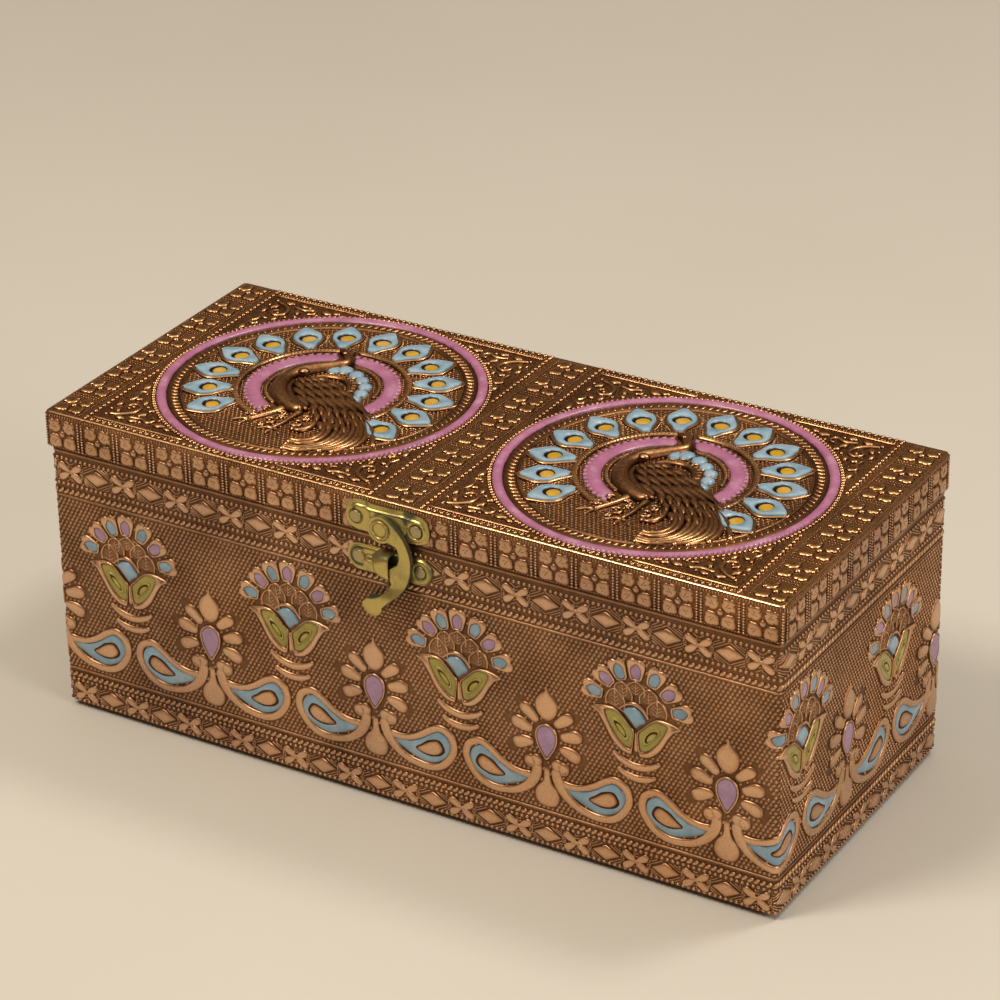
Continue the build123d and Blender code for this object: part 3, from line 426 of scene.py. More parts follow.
class Wall:
    """The sheet wrapped round a box: u runs round it from the front left corner, v is up."""

    def __init__(self, x_half, front, back, low):
        self.x_half, self.front, self.back, self.low = x_half, front, back, low
        self.long, self.deep = 2 * (x_half - CORNER), back - front - 2 * CORNER
        self.bend = math.pi * CORNER / 2
        self.length = 2 * (self.long + self.deep + 2 * self.bend)
        self.starts, at = [], 0.0
        for run in (self.long, self.deep, self.long, self.deep):
            self.starts.append(at)
            at += run + self.bend

    def corner_lines(self):
        """Lines of u through each rounded corner."""
        lines = []
        for start, run in zip(self.starts, (self.long, self.deep, self.long, self.deep)):
            for k in range(4):
                line = start + run + self.bend * k / 3
                lines += [line, line - self.length]
        return lines

    def place(self, p):
        u = np.mod(p[:, 0], self.length)
        out = np.zeros((len(p), 3))
        out[:, 2] = self.low + p[:, 1]
        r = CORNER
        x, f, b = self.x_half, self.front, self.back
        sides = [((-x + r, f), (1, 0), (0, -1)), ((x, f + r), (0, 1), (1, 0)),
                 ((x - r, b), (-1, 0), (0, 1)), ((-x, b - r), (0, -1), (-1, 0))]
        for (origin, way, face), start, run in zip(sides, self.starts,
                                                   (self.long, self.deep, self.long, self.deep)):
            gone = u - start
            on = (gone >= 0) & (gone <= run)
            for axis in (0, 1):
                out[on, axis] = origin[axis] + way[axis] * gone[on] + face[axis] * p[on, 2]
            turn = (gone > run) & (gone < run + self.bend)
            angle = (gone[turn] - run) / r
            reach = r + p[turn, 2]
            for axis in (0, 1):
                centre = origin[axis] + way[axis] * run - face[axis] * r
                out[turn, axis] = centre + reach * (face[axis] * np.cos(angle) + way[axis] * np.sin(angle))
        return out


def in_scene(name, data):
    """A new object in the scene."""
    thing = bpy.data.objects.new(name, data)
    bpy.context.scene.collection.objects.link(thing)
    return thing


def make_mesh(name, points, shade, groups, materials):
    """An object from points in mm, a shade for each and groups of faces with their materials."""
    mesh = bpy.data.meshes.new(name)
    faces = [f for group, _ in groups for f in group.tolist()]
    mesh.from_pydata(points * MM, [], faces)
    mesh.polygons.foreach_set("material_index", np.concatenate([p for _, p in groups]).astype(np.int32))
    tone = mesh.attributes.new("relief", "FLOAT", "POINT")
    tone.data.foreach_set("value", shade.astype(np.float32))
    for material in materials:
        mesh.materials.append(material)
    mesh.shade_smooth()
    mesh.validate()
    mesh.update()
    return in_scene(name, mesh)


def under_fittings(wall, plate, leaf):
    """Bare places of a wall: under a plate on its front, and under a leaf of each hinge behind."""
    half = wall.long / 2
    left, right, low, high = plate
    boxes = [(half + left, half + right, low, high)]
    for x in (-HINGE_X, HINGE_X):
        middle = wall.starts[2] + half - x
        boxes.append((middle - HINGE_HALF, middle + HINGE_HALF, *leaf))
    return boxes


def plain(*faces):
    """Groups of faces of one size each, all in the first material; one row of corners is one face."""
    return [(group, np.zeros(len(group), int)) for group in map(np.atleast_2d, faces)]


def settle(piece, body, replaced=(), sharp=None):
    """Puts a piece on its body, in place of the solids that it stands for."""
    if sharp:
        piece.data.set_sharp_from_angle(angle=math.radians(sharp))
    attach(piece, body)
    if replaced:
        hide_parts(*replaced)
    return piece


def piece_of(name, points, shade, part, materials, body):
    """A piece of its own from some of the faces of a relief."""
    used = np.unique(np.concatenate([f.ravel() for f, _ in part]))
    renumber = np.zeros(len(points), int)
    renumber[used] = np.arange(len(used))
    part = [(renumber[f], p) for f, p in part if len(f)]
    settle(make_mesh(name, points[used], shade[used], part, materials), body)


def pieces_by_side(name, relief, wall, materials, body, flats=(), halves=False):
    """Wraps a relief round the box and makes one piece of each side of it, or two of each long side."""
    relief.cut(wall.corner_lines())
    points, shade, groups = relief.arrays()
    points = press_flat(points, flats)
    middle = [start + run / 2 for start, run in
              zip(wall.starts, (wall.long, wall.deep, wall.long, wall.deep))]
    solid = wall.place(points)
    places = [(0, -1, "front"), (1, 0, "right"), (2, -1, "back"), (3, 0, "left")]
    if halves:
        places = [(0, -1, "front_left"), (0, 1, "front_right"), (1, 0, "right"),
                  (2, 1, "back_left"), (2, -1, "back_right"), (3, 0, "left")]
    for side, hand, label in places:
        part = []
        for faces, paint in groups:
            u = np.mod(points[faces[:, 0], 0], wall.length)
            gap = np.abs((u - np.array(middle)[:, None] + wall.length / 2) % wall.length - wall.length / 2)
            gap[[0, 2]] -= wall.long / 2
            gap[[1, 3]] -= wall.deep / 2
            mine = gap.argmin(0) == side
            if halves and hand:
                past = (u - middle[side] + wall.length / 2) % wall.length > wall.length / 2
                mine &= past if hand > 0 else ~past
            part.append((faces[mine], paint[mine]))
        piece_of(f"{name}_{label}", solid, shade, part, materials, body)


# The embossed pattern of the body: twelve tiles, each a lotus, a sprig and two paisleys
BODY_WALL = Wall(BODY_X, BODY_FRONT, BODY_BACK, BODY_LOW)
TILES = 12
TILE = BODY_WALL.length / TILES
LEFTMOST_LOTUS_X = -97.8
FIRST_LOTUS = LEFTMOST_LOTUS_X + BODY_X - CORNER
# The woven ground between the borders: beads across a tile, and the rise from row to row
FIELD_LOW, FIELD_HIGH = 12.9, 72.4
WEAVE_ACROSS, WEAVE_UP = 40, 1.295
# How high the large forms stand
MOTIF = 0.62
# The two bands: middle, lower and upper row of beads; and the ropes beside them
BANDS = ((81.6, 77.2, 85.8), (4.1, 0.75, 8.0))
ROPES = (74.7, 9.85)
BORDER_BEADS, ROPE_TURNS = 34, 30


def lotus(r):
    """The flower over its pot, centred on u = 0; v is the height over the body's bottom edge."""
    petal = [(-3.15, 0), (-3.0, -1.45), (-1.2, -2.2), (0.9, -2.75), (2.3, -2.6), (2.9, -1.75), (3.2, -0.7),
             (2.75, -0.15), (3.3, 0.5), (3.35, 1.5), (2.5, 2.55), (0.9, 2.7), (-1.2, 2.25), (-3.0, 1.5)]
    enamel = [(-2.6, 0), (-2.4, -0.95), (-0.8, -1.45), (0.5, -1.3), (1.75, -0.15), (1.5, 0.4), (0.4, 1.4),
              (-0.9, 1.5), (-2.4, 1.0)]
    for k, (u, v, turn) in enumerate(((-14.1, 57.9, 172), (-10.3, 63.2, 143), (-5.7, 66.7, 115),
                                      (0.0, 68.0, 90), (6.2, 66.9, 65), (11.0, 63.2, 37),
                                      (14.7, 57.9, 9))):
        r.cell(placed(petal, (u, v), turn, flip=k > 3, scale=1.1),
               placed(enamel, (u, v), turn, flip=k > 3, scale=1.12), MOTIF, MOTIF * 0.55,
               (BLUE, LILAC)[k % 2], step=0.55)
        r.stroke(placed([(2.0, -2.3), (3.0, -2.1), (3.5, -1.3)], (u, v), turn, flip=k > 3), MOTIF * 1.2,
                 width=0.6, step=0.4, clear=None)
    r.discs.append(np.array([[0, 56.0, 11.3], [-8.0, 53.5, 4.6], [8.0, 53.5, 4.6]]))
    scallops = [((-9.5, 54.3), (-7.0, 60.0), (-3.7, 54.4)), ((-6.7, 58.4), (-4.6, 62.9), (-1.3, 57.4)),
                ((-2.8, 59.8), (0.0, 64.2), (2.6, 59.6)), ((1.3, 57.4), (4.3, 62.7), (6.7, 58.2)),
                ((3.8, 54.4), (7.1, 59.7), (9.7, 54.4))]
    for left, top, right in scallops:
        lean = (top[0] - (left[0] + right[0]) / 2) * 0.6
        low_left, low_right = np.array(left), np.array(right)
        crown_line = [low_left, low_left + (-0.1 + lean * 0.4, 2.4), (top[0] - 1.5, top[1] - 0.7), top,
                      (top[0] + 1.5, top[1] - 0.7), low_right + (0.1 + lean * 0.4, 2.4), low_right]
        r.mound(crown_line, MOTIF * 0.45, crown=8, step=0.7, worn=0.45, clear=None,
                centre=(np.array(top) * 0.45 + (low_left + low_right) * 0.275))
        r.stroke(crown_line, MOTIF * 0.95, width=0.6, step=0.45, clear=None)
        foot = (low_left + low_right) / 2
        stem = np.array(top) - foot
        r.stroke([foot + stem * 0.05, foot + stem * 0.5, foot + stem * 0.84], MOTIF * 0.55, width=0.62,
                 base=MOTIF * 0.38, section=WIRE, clear=None)
        for k in range(3):
            start = foot + stem * (0.08 + 0.22 * k)
            for hand in (-1, 1):
                r.stroke([start, start + (hand * 0.7, 0.55), start + (hand * 1.35, 1.3 - 0.1 * k)],
                         MOTIF * 0.55, width=0.6, base=MOTIF * 0.38, section=WIRE, clear=None)
    r.stroke(arc(11.1, 164, 16, (0, 52.4), width=0.55), MOTIF * 0.35, worn=0.6, clear=None)
    leaf = [(-14.7, 52.6), (-11.9, 53.6), (-9.2, 54.0), (-6.4, 53.7), (-4.3, 52.0), (-2.2, 49.7),
            (-0.45, 47.9), (-0.7, 44.5), (-1.1, 41.2), (-1.6, 39.9), (-4.7, 40.6), (-7.9, 43.5),
            (-10.7, 48.5), (-12.8, 51.5)]
    fill = [(-10.2, 52.5), (-8.4, 53.1), (-6.3, 52.9), (-4.3, 51.4), (-2.2, 49.2), (-0.8, 47.4),
            (-0.95, 44.1), (-1.5, 41.9), (-3.0, 41.9), (-4.9, 43.2), (-7.2, 45.9), (-8.9, 48.7),
            (-9.9, 50.8)]
    eye = [(-8.0, 50.4), (-5.7, 50.2), (-3.5, 48.2), (-2.2, 45.4), (-2.9, 44.1), (-5.2, 45.9), (-7.0, 48.0)]
    for hand in (1, -1):
        shape = [np.array(s, float) * (hand, 1) for s in (leaf, fill, eye)]
        r.cell(shape[0], shape[1], MOTIF * 1.1, MOTIF * 0.5, OLIVE, step=0.6)
        floor = MOTIF * 0.5 + 0.06
        middle = shape[2].mean(0)
        r.cell(shape[2], middle + (shape[2] - middle) * 0.72, 0.26, 0.03, COPPER, rim=OLIVE,
               base=floor, step=0.5, deep=0.0, full=0.1, clear=None)
        r.mound(middle + (shape[2] - middle) * 0.56 + (0.15, -0.2), 0.3, OLIVE,
                base=floor, crown=3, step=0.4, clear=None, low=0.3)
    r.stroke([(-1.6, 52.2, 0.3), (-8.4, 55.0, 0.28), (-10.4, 54.7, 0.2)], 0.3, step=0.7, clear=None)
    r.mound([(-0.7, 55.5), (-2.7, 55.0), (-4.3, 53.8), (-3.1, 52.3), (-1.6, 50.6), (0.05, 48.9),
             (1.4, 50.2), (3.2, 51.4), (2.7, 53.0), (1.2, 54.8)], MOTIF * 1.2, BLUE, crown=5,
            low=0.2, clear=0.3, centre=(-0.4, 52.4))
    r.stroke([(-5.4, 54.0, 0.3), (-3.4, 55.9, 0.5), (-0.7, 56.8, 0.65), (2.1, 55.6, 0.55), (4.1, 53.0, 0.3)],
             MOTIF * 1.15)
    r.stroke([(0.1, 47.8, 0.25), (0.15, 44.8, 0.6), (0.3, 42.2, 1.0), (0.3, 41.2, 0.85)], MOTIF * 1.5)
    r.stroke([(-7.5, 39.6, 0.6), (-5.3, 37.8, 1.05), (-2.6, 36.7, 1.2), (0.3, 36.25, 1.25),
              (3.2, 36.7, 1.2), (5.8, 37.8, 1.05), (7.9, 39.4, 0.6)], MOTIF, section=FLAT)
    r.stroke([(-6.0, 34.5, 0.6), (-3.2, 33.0, 1.05), (0.3, 32.4, 1.2), (3.8, 33.0, 1.1),
              (6.7, 34.3, 0.6)], MOTIF, section=FLAT)


def sprig(r):
    """A lilac drop with six petals and a flame over it, centred on u = 0."""
    r.mound([(0.15, 54.3), (-0.4, 53.2), (-1.9, 51.9), (-3.5, 49.7), (-3.9, 47.4), (-3.2, 45.0),
             (-1.6, 43.2), (0, 42.7), (1.6, 43.2), (3.2, 45.0), (3.9, 47.4), (3.5, 49.8), (1.9, 51.9),
             (0.7, 53.2)], MOTIF * 1.1, crown=7, centre=(0, 47.2), step=0.7)
    r.stroke([(0.2, 54.2, 0.2), (0.1, 52.6, 0.5), (0, 50.8, 0.8)], MOTIF * 1.1, clear=None)
    for hand in (-1, 1):
        for line in ([(2.7, 41.7, 1.2), (6.0, 44.5, 2.0), (8.7, 46.6, 1.9)],
                     [(4.5, 38.5, 1.2), (8.4, 39.6, 2.25), (11.9, 40.5, 2.0)],
                     [(4.2, 34.8, 1.1), (7.9, 33.8, 2.15), (11.3, 32.2, 2.1)]):
            r.stroke([(hand * u, v, w) for u, v, w in line], MOTIF * 1.05, section=FLAT, step=0.55)
    drop = np.array([(0, 41.9), (-2.0, 41.2), (-3.5, 39.3), (-3.8, 37.0), (-3.2, 34.4), (-1.8, 31.8),
                     (0, 29.5), (1.8, 31.8), (3.2, 34.4), (3.8, 37.0), (3.5, 39.3), (2.0, 41.2)])
    r.cell(drop, (drop - (0, 37)) * (0.83, 0.87) + (0, 37), MOTIF * 1.05, MOTIF * 0.72, LILAC, step=0.6,
           clear=0.55)
    r.mound([(-0.75, 27.4), (0.85, 27.4), (1.1, 24.6), (1.7, 22.4), (3.4, 20.7), (4.3, 18.2), (4.0, 15.8),
             (2.6, 14.1), (0, 13.5), (-2.5, 14.1), (-3.9, 15.8), (-4.15, 18.2), (-3.1, 20.6),
             (-1.5, 22.4), (-0.9, 24.6)], MOTIF, crown=8, centre=(0.1, 18.4), step=0.7)


def paisley(r, hand):
    """One paisley from under a lotus to the next sprig; hand is 1 to the right and -1 to the left."""
    def side(points):
        p = np.array(points, float)
        p[:, 0] *= hand
        return p

    r.stroke(side([(26.0, 27.9, 1.6), (26.2, 25.4, 1.75), (25.2, 22.4, 1.85), (22.8, 19.1, 1.55),
                   (18.4, 16.3, 1.3), (12.5, 15.15, 1.3), (7.9, 16.05, 1.3), (4.5, 18.7, 1.3),
                   (2.2, 23.0, 1.3), (2.7, 26.8, 1.3), (4.7, 28.8, 1.3), (7.2, 29.45, 1.25),
                   (10.0, 28.2, 1.2), (13.7, 25.5, 1.15), (17.5, 23.6, 1.1), (21.4, 22.9, 1.15),
                   (24.8, 23.2, 1.3)]), MOTIF, section=FLAT, step=0.7)
    r.mound(side(circle(2.35, (24.1, 27.9))), MOTIF * 1.1, crown=5, clear=0.4)
    r.mound(side(circle(2.2, (25.8, 28.5))), MOTIF * 1.05, crown=5, clear=0.4)
    r.stroke(side(placed(arc(1.25, 200, 420, width=0.45), (24.1, 27.8))), MOTIF * 0.2, base=MOTIF * 1.06,
             step=0.5, clear=None)
    r.mound(side([(3.2, 22.6), (4.0, 26.0), (7.3, 28.3), (10.2, 27.0), (13.6, 24.4), (17.4, 22.5),
                  (21.2, 22.0), (24.2, 22.2), (22.5, 20.4), (19.0, 18.6), (15.4, 17.1), (12.2, 16.3),
                  (8.4, 17.2), (4.9, 19.6)]), MOTIF * 0.62, BLUE, crown=8, low=0.35, step=0.9,
            centre=(9.6 * hand, 22.0), clear=0.0)
    # Painted shade: a low ring of the darkest copper round the inner drop, standing for the shadow in its
    # recess.
    r.mound(side([(5.2, 22.7), (7.0, 25.4), (10.6, 24.7), (13.4, 22.6), (15.7, 20.4), (11.7, 18.9),
                  (8.2, 19.4), (5.9, 20.8)]), MOTIF * 0.14, base=MOTIF * 0.56, crown=8, worn=0.0,
            centre=(9.6 * hand, 22.0), clear=None)
    r.mound(side([(6.0, 22.8), (7.6, 24.9), (10.3, 24.2), (13.0, 22.3), (15.2, 20.4), (11.6, 19.5),
                  (8.6, 19.9), (6.6, 21.2)]), MOTIF * 0.5, base=MOTIF * 0.6, crown=5,
            centre=(9.2 * hand, 21.6), clear=None)


def band(r, middle, low_beads, high_beads):
    """One tile of the row of crosses and diamonds with its hatching, centred on v = middle."""
    pitch = TILE / 6
    cross = [(-0.2, 0), (1.0, -0.8), (2.7, -1.25), (4.4, -1.0), (5.1, 0.1), (4.4, 1.1), (2.7, 1.25),
             (1.0, 0.75)]
    places = [TILE * (k - 3) / 6 for k in range(6)]
    for k, at in enumerate(places):
        if k % 2:
            for turn in (32, 148, 212, 328):
                r.mound(placed(cross, (at, middle), turn), MOTIF * 0.95, crown=8, step=0.7,
                        centre=placed([(2.4, 0)], (at, middle), turn)[0])
            r.stamp([(at, middle)], 1.4, MOTIF * 0.95)
        else:
            r.mound([(at - 4.7, middle), (at, middle - 2.6), (at + 4.7, middle), (at, middle + 2.6)],
                    MOTIF * 0.95, sharp=True, crown=9, scales=(1, 0.96, 0.9, 0.4))
    half = (high_beads - low_beads) / 2 - 0.75
    for k, at in enumerate(places):
        for hand in (-1, 1):
            for up in (-1, 1):
                for step in range(6):
                    if k % 2:
                        line = [(0.0, 1.7 + 0.95 * step - 1.2), (pitch / 2, 1.7 + 0.95 * step + 1.9)]
                        hatch_line(r, at, middle, half, hand, up, line)
                        line = [(1.6 + 0.95 * step, 0.0), (pitch / 2, (pitch / 2 - 1.6 - 0.95 * step) * 0.62)]
                        if line[0][0] < pitch / 2 - 0.4:
                            hatch_line(r, at, middle, half, hand, up, line)
                    else:
                        rise = 3.5 + 0.85 * step
                        line = [(0.0, rise), (pitch / 2, rise - 0.553 * pitch / 2)]
                        hatch_line(r, at, middle, half, hand, up, line)


def hatch_line(r, at, middle, half, hand, up, line):
    """A fine raised line in one quarter of a band's field, only where nothing else stands."""
    t = np.linspace(0, 1, 34)[:, None]
    run = (np.array(line[0]) * (1 - t) + np.array(line[1]) * t) * (hand, up) + (at, middle)
    on = r.free(run) & (np.abs(run[:, 1] - middle) < half)
    start = None
    for i in range(len(run) + 1):
        clear = i < len(run) and on[i]
        if clear and start is None:
            start = i
        if not clear and start is not None:
            if i - start > 4:
                r.stroke(run[[start, (start + i) // 2, i - 1]], MOTIF * 0.55, width=0.52, step=5,
                         worn=0.85, clear=None)
            start = None


def body_tile():
    """The pattern of one tile, from a lotus at u = 0 to halfway past the sprigs on each side."""
    field = Relief()
    lotus(field)
    for hand in (-1, 1):
        paisley(field, hand)
    flower = Relief()
    sprig(flower)
    field.take(flower, (TILE / 2, 0))
    across = TILE / WEAVE_ACROSS
    dots = []
    for row in range(int((FIELD_HIGH - FIELD_LOW) / WEAVE_UP) + 1):
        for k in range(WEAVE_ACROSS):
            dots.append(((k + 0.5 * (row % 2) - WEAVE_ACROSS / 2 + 0.25) * across,
                         FIELD_LOW + 0.45 + row * WEAVE_UP))
    dots = np.array(dots)
    open_ground = np.ones(len(dots), bool)
    for shift in (-TILE, 0, TILE):
        open_ground &= field.free(dots + (shift, 0))
    field.stamp(dots[open_ground], 1.04, 0.42, length=1.42, angle=50, sides=8, worn=1.0, scales=(1, 0.8))
    u = np.arange(BORDER_BEADS) * TILE / BORDER_BEADS - TILE / 2
    for middle, low, high in BANDS:
        row = Relief()
        band(row, middle, low, high)
        field.take(row)
        for v in (low, high):
            field.stamp(row_of(u, v), 1.25, 0.55)
    rope = np.arange(ROPE_TURNS) * TILE / ROPE_TURNS - TILE / 2
    for v in ROPES:
        for u in rope:
            field.stroke([(u - 0.95, v - 0.72, 0.45), (u, v, 0.78), (u + 0.95, v + 0.72, 0.4)],
                         0.62, step=0.7, clear=None)
    return field


def body_pattern():
    """All the tiles, one after the other round the body."""
    tile, whole = body_tile(), Relief()
    for k in range(TILES):
        whole.take(tile, (FIRST_LOTUS + k * TILE, 0))
    return whole


def wall_lines(r, wall, lines, step=2.0):
    """Smooth raised lines right round the wall: height on it, width and rise of each."""
    count = int(wall.length / step)
    for v, width, rise, worn in lines:
        shape = np.array(ROUND)
        net = np.zeros((count + 1, len(shape), 3))
        net[:, :, 0] = (np.arange(count + 1) * wall.length / count)[:, None]
        net[:, :, 1] = v + shape[:, 0] * width / 2
        net[:, :, 2] = shape[:, 1] * rise
        r.rows(net, np.broadcast_to(shape[:, 1] * worn, net.shape[:2]), COPPER)


# The lid's rim and the strips on its top share one square four-petalled flower
RIM_WALL = Wall(LID_X, -LID_Y, LID_Y, LID_LOW)
RIM_FLOWERS = 54
RIM_PITCH = RIM_WALL.length / RIM_FLOWERS
LEFTMOST_RIM_FLOWER_X = -118.7
FIRST_RIM_FLOWER = LEFTMOST_RIM_FLOWER_X + LID_X - CORNER

# The fine veins of a petal
VEINS = (((1.7, 1.8), (2.3, 2.5), (2.9, 3.4)), ((2.5, 1.9), (3.0, 2.2), (3.6, 2.3)))


def four_petals(r, middle, rise=0.5, worn=1.0):
    """Four lobed petals round a disc: the two upper ones notched, the lower ones heart shaped."""
    turn = np.arange(48) * math.pi / 24
    for flip in ((1, 1), (-1, 1), (-1, -1), (1, -1)):
        lobes = 5 if flip[1] > 0 else 3
        deep = 0.34 if flip[1] > 0 else 0.22
        reach = (1.0 - deep * np.abs(np.sin((turn - math.pi / 4) * lobes / 2)) ** 8) * 2.75
        reach = np.where(np.cos(turn - math.pi * 1.25) > 0.55, 2.25, reach)
        shape = np.column_stack([2.55 + reach * np.cos(turn), 2.5 + reach * np.sin(turn)])
        shape = np.clip(shape, 0.17, (4.92, 4.78)) * flip + middle
        r.mound(shape, rise, crown=9, sharp=True, worn=worn,
                centre=np.array([2.55, 2.5]) * flip + middle, scales=(1, 0.93, 0.72, 0.35))
        for ends in VEINS:
            r.stroke(np.array(ends) * flip + middle, rise * 0.3, base=rise * 0.9, width=0.34,
                     section=WIRE, worn=0.55, clear=None)
    r.mound(circle(1.15, middle, 8), rise * 1.3, crown=3, step=0.7, worn=worn)


def rim_tile():
    """One flower of the rim with the double dotted line beside it."""
    r = Relief()
    four_petals(r, (0, 4.95), worn=0.84)
    for u in (-0.68, 0.68):
        v = np.arange(0.4, 9.8, 0.9)
        r.stamp(row_of(u + RIM_PITCH / 2, v), 0.95, 0.55, length=0.8, angle=90)
    r.stamp([(u * 1.05, 0.12) for u in np.arange(-5.4, 5.5, 0.9)], 0.6, 0.35, sides=6, worn=0.8)
    count = 14
    for k in range(count):
        u = (k - count / 2 + 0.5) * RIM_PITCH / count
        r.stroke([(u, 10.0), (u, 10.45), (u, 10.95)], 0.45, width=0.5, section=WIRE, step=2, worn=1.0,
                 clear=None)
    return r


def rim_pattern():
    """All the flowers, one after the other round the rim."""
    tile, whole = rim_tile(), Relief()
    for k in range(RIM_FLOWERS):
        whole.take(tile, (FIRST_RIM_FLOWER + k * RIM_PITCH, 0))
    return whole


# The lid's top: two medallions in panels, flower strips at the ends and in the middle
PANEL_X = 59.5
PANEL_Y = -0.5
RING = 51.3
BEAD_COLUMNS = (-110.6, -9.3, 8.3, 110.4)
STRIPS = (-118.9, -0.4, 118.9)
STRIP_FLOWERS, STRIP_FIRST, STRIP_PITCH = 8, 6.9, 13.38
# The dotted ground inside a medallion, and the finer one round it
GROUND_REACH, GROUND_ACROSS, GROUND_UP = 42.3, 1.45, 1.28
CORNER_ACROSS, CORNER_UP = 0.8, 0.72
# Radii inside the ring, and the angles from which and to which each arch runs
PINK_RING, ROPE_RING, FINE_RING = 49.0, 45.3, 43.0
OUTER_ARCH, OUTER_ENDS = 26.5, ((-107, -256), (98, -23))
PINK_ARCH, PINK_ENDS = 21.1, ((-110.6, -251), (95, -22))
INNER_ARCH, INNER_ENDS = 17.3, ((-115, -253), (88, 4))
EYE_COUNT, EYE_REACH, FIRST_EYE, EYE_TURN = 14, 35.0, -27.5, 19.73


def feather_eye(r, angle):
    """A pointed eye, blue round gold; its tip points along +u, and the medallion turns it by angle."""
    shape = [(7.6, 0), (5.2, 2.5), (2.2, 4.4), (-0.9, 4.25), (-3.9, 2.5), (-6.9, 1.15), (-7.3, 0),
             (-6.9, -1.15), (-3.9, -2.5), (-0.9, -4.25), (2.2, -4.4), (5.2, -2.5)]
    r.mound(np.array(shape) * (1.2, 1.28), 0.62, crown=2, step=0.6, worn=0.9, centre=(0, 0), low=0.2,
            scales=(1, 0.9, 0.81, 0.76), bevel=(0, 0.45, 0.9, 1.0), clear=0.05)
    r.stroke(np.array(shape) * (1.09, 1.13), 0.5, base=0.28, width=0.95, closed=True, step=0.6, clear=None)
    # Painted shade: the hollow's floor is the darkest copper, and the gold is moved towards one fixed side of
    # the medallion. So every eye shows a dark crescent on the other side as a painted shadow.
    r.cell(shape, circle(2.75, (-0.1, 0), 10, 2.9), 1.15, 0.64, COPPER, rim=BLUE, step=0.6, deep=0.0,
           full=0.0, clear=None)
    r.stroke(np.array(shape) * 0.95, 1.24, BLUE, width=0.45, closed=True, step=0.6, clear=None)
    shift = placed([(0.6, -0.15)], angle=-angle)[0]
    r.mound(circle(2.2, shift + (-0.1, 0), 10, 2.45), 0.32, GOLD, base=0.62, crown=3, low=0.3, clear=None)
    fringe = ring_of(np.array(shape) * (1.2, 1.28), 1.05)
    out = np.roll(fringe, -1, 0) - np.roll(fringe, 1, 0)
    out = np.column_stack([out[:, 1], -out[:, 0]]) / np.hypot(*out.T)[:, None]
    if ((fringe + out) ** 2).sum() < (fringe ** 2).sum():
        out = -out
    for place, way in zip(fringe, out):
        if place[0] < 5.0:
            r.stroke([place - way * 0.25, place + way * 0.2, place + way * 0.6], 0.3, width=0.6, base=0.05,
                     step=2, clear=None)


# The paths of the tail, from the wing down to where each strand curls
TAIL = [[(4.4, -12.6), (8.6, -16.6), (11.4, -21.4), (11.6, -25.6), (9.4, -28.8), (7.6, -28.2)],
        [(6.9, -13.1), (13.1, -18.8), (16.6, -25.0), (16.9, -30.0), (14.4, -33.8), (11.3, -34.6)],
        [(10.0, -13.4), (17.5, -20.0), (20.3, -27.0), (19.4, -33.2), (15.2, -37.4), (11.4, -36.8)],
        [(15.0, -12.8), (22.0, -19.4), (24.2, -27.0), (22.2, -34.0), (17.5, -39.2), (12.0, -40.4)],
        [(19.4, -12.2), (25.6, -18.0), (29.0, -25.0), (28.4, -30.6), (26.0, -35.4)],
        [(22.5, -12.2), (28.8, -17.5), (32.5, -22.4), (34.6, -26.2)]]


# Rows of wing feathers: first and last start, first and last tip, count, half width and base height
WING_ROWS = (((-4.0, -8.4), (8.4, -1.6), (3.6, -13.4), (23.4, -11.0), 7, 1.25, 0.5),
             ((-7.2, -4.9), (3.6, 1.2), (0.6, -9.9), (15.0, -4.9), 6, 1.2, 0.85),
             ((-8.5, -1.8), (-0.4, 2.5), (-2.8, -6.2), (7.8, -0.8), 5, 1.15, 1.15),
             ((-9.0, 0.6), (-4.2, 3.1), (-5.2, -2.4), (1.4, 1.3), 4, 1.0, 1.4))


def between(path_a, path_b, share, count=9):
    """A path that lies part of the way from one path to another."""
    ends = []
    for path in (path_a, path_b):
        dense, gone = trace(path)
        ends.append(along(dense, gone, np.linspace(0, gone[-1], count)))
    return ends[0] * (1 - share) + ends[1] * share


def plume(r, start, end, half, height, base, bow=0.0, worn=1.0):
    """A pointed feather from start to end, with a fine rib along its middle."""
    start, end = np.array(start, float), np.array(end, float)
    run = np.hypot(*(end - start))
    turn = math.degrees(math.atan2(*(end - start)[::-1]))
    shape = [(0, 0), (run * 0.16, half * 0.72), (run * 0.45, half + bow), (run * 0.78, half * 0.62 + bow),
             (run, 0), (run * 0.78, -half * 0.62 + bow), (run * 0.45, -half + bow),
             (run * 0.16, -half * 0.72)]
    r.mound(placed(shape, start, turn), height, base=base, crown=2.2, step=0.6, worn=worn, low=0.0,
            centre=placed([(run * 0.45, bow * 0.7)], start, turn)[0], clear=None,
            scales=(1, 0.82, 0.5, 0.22))


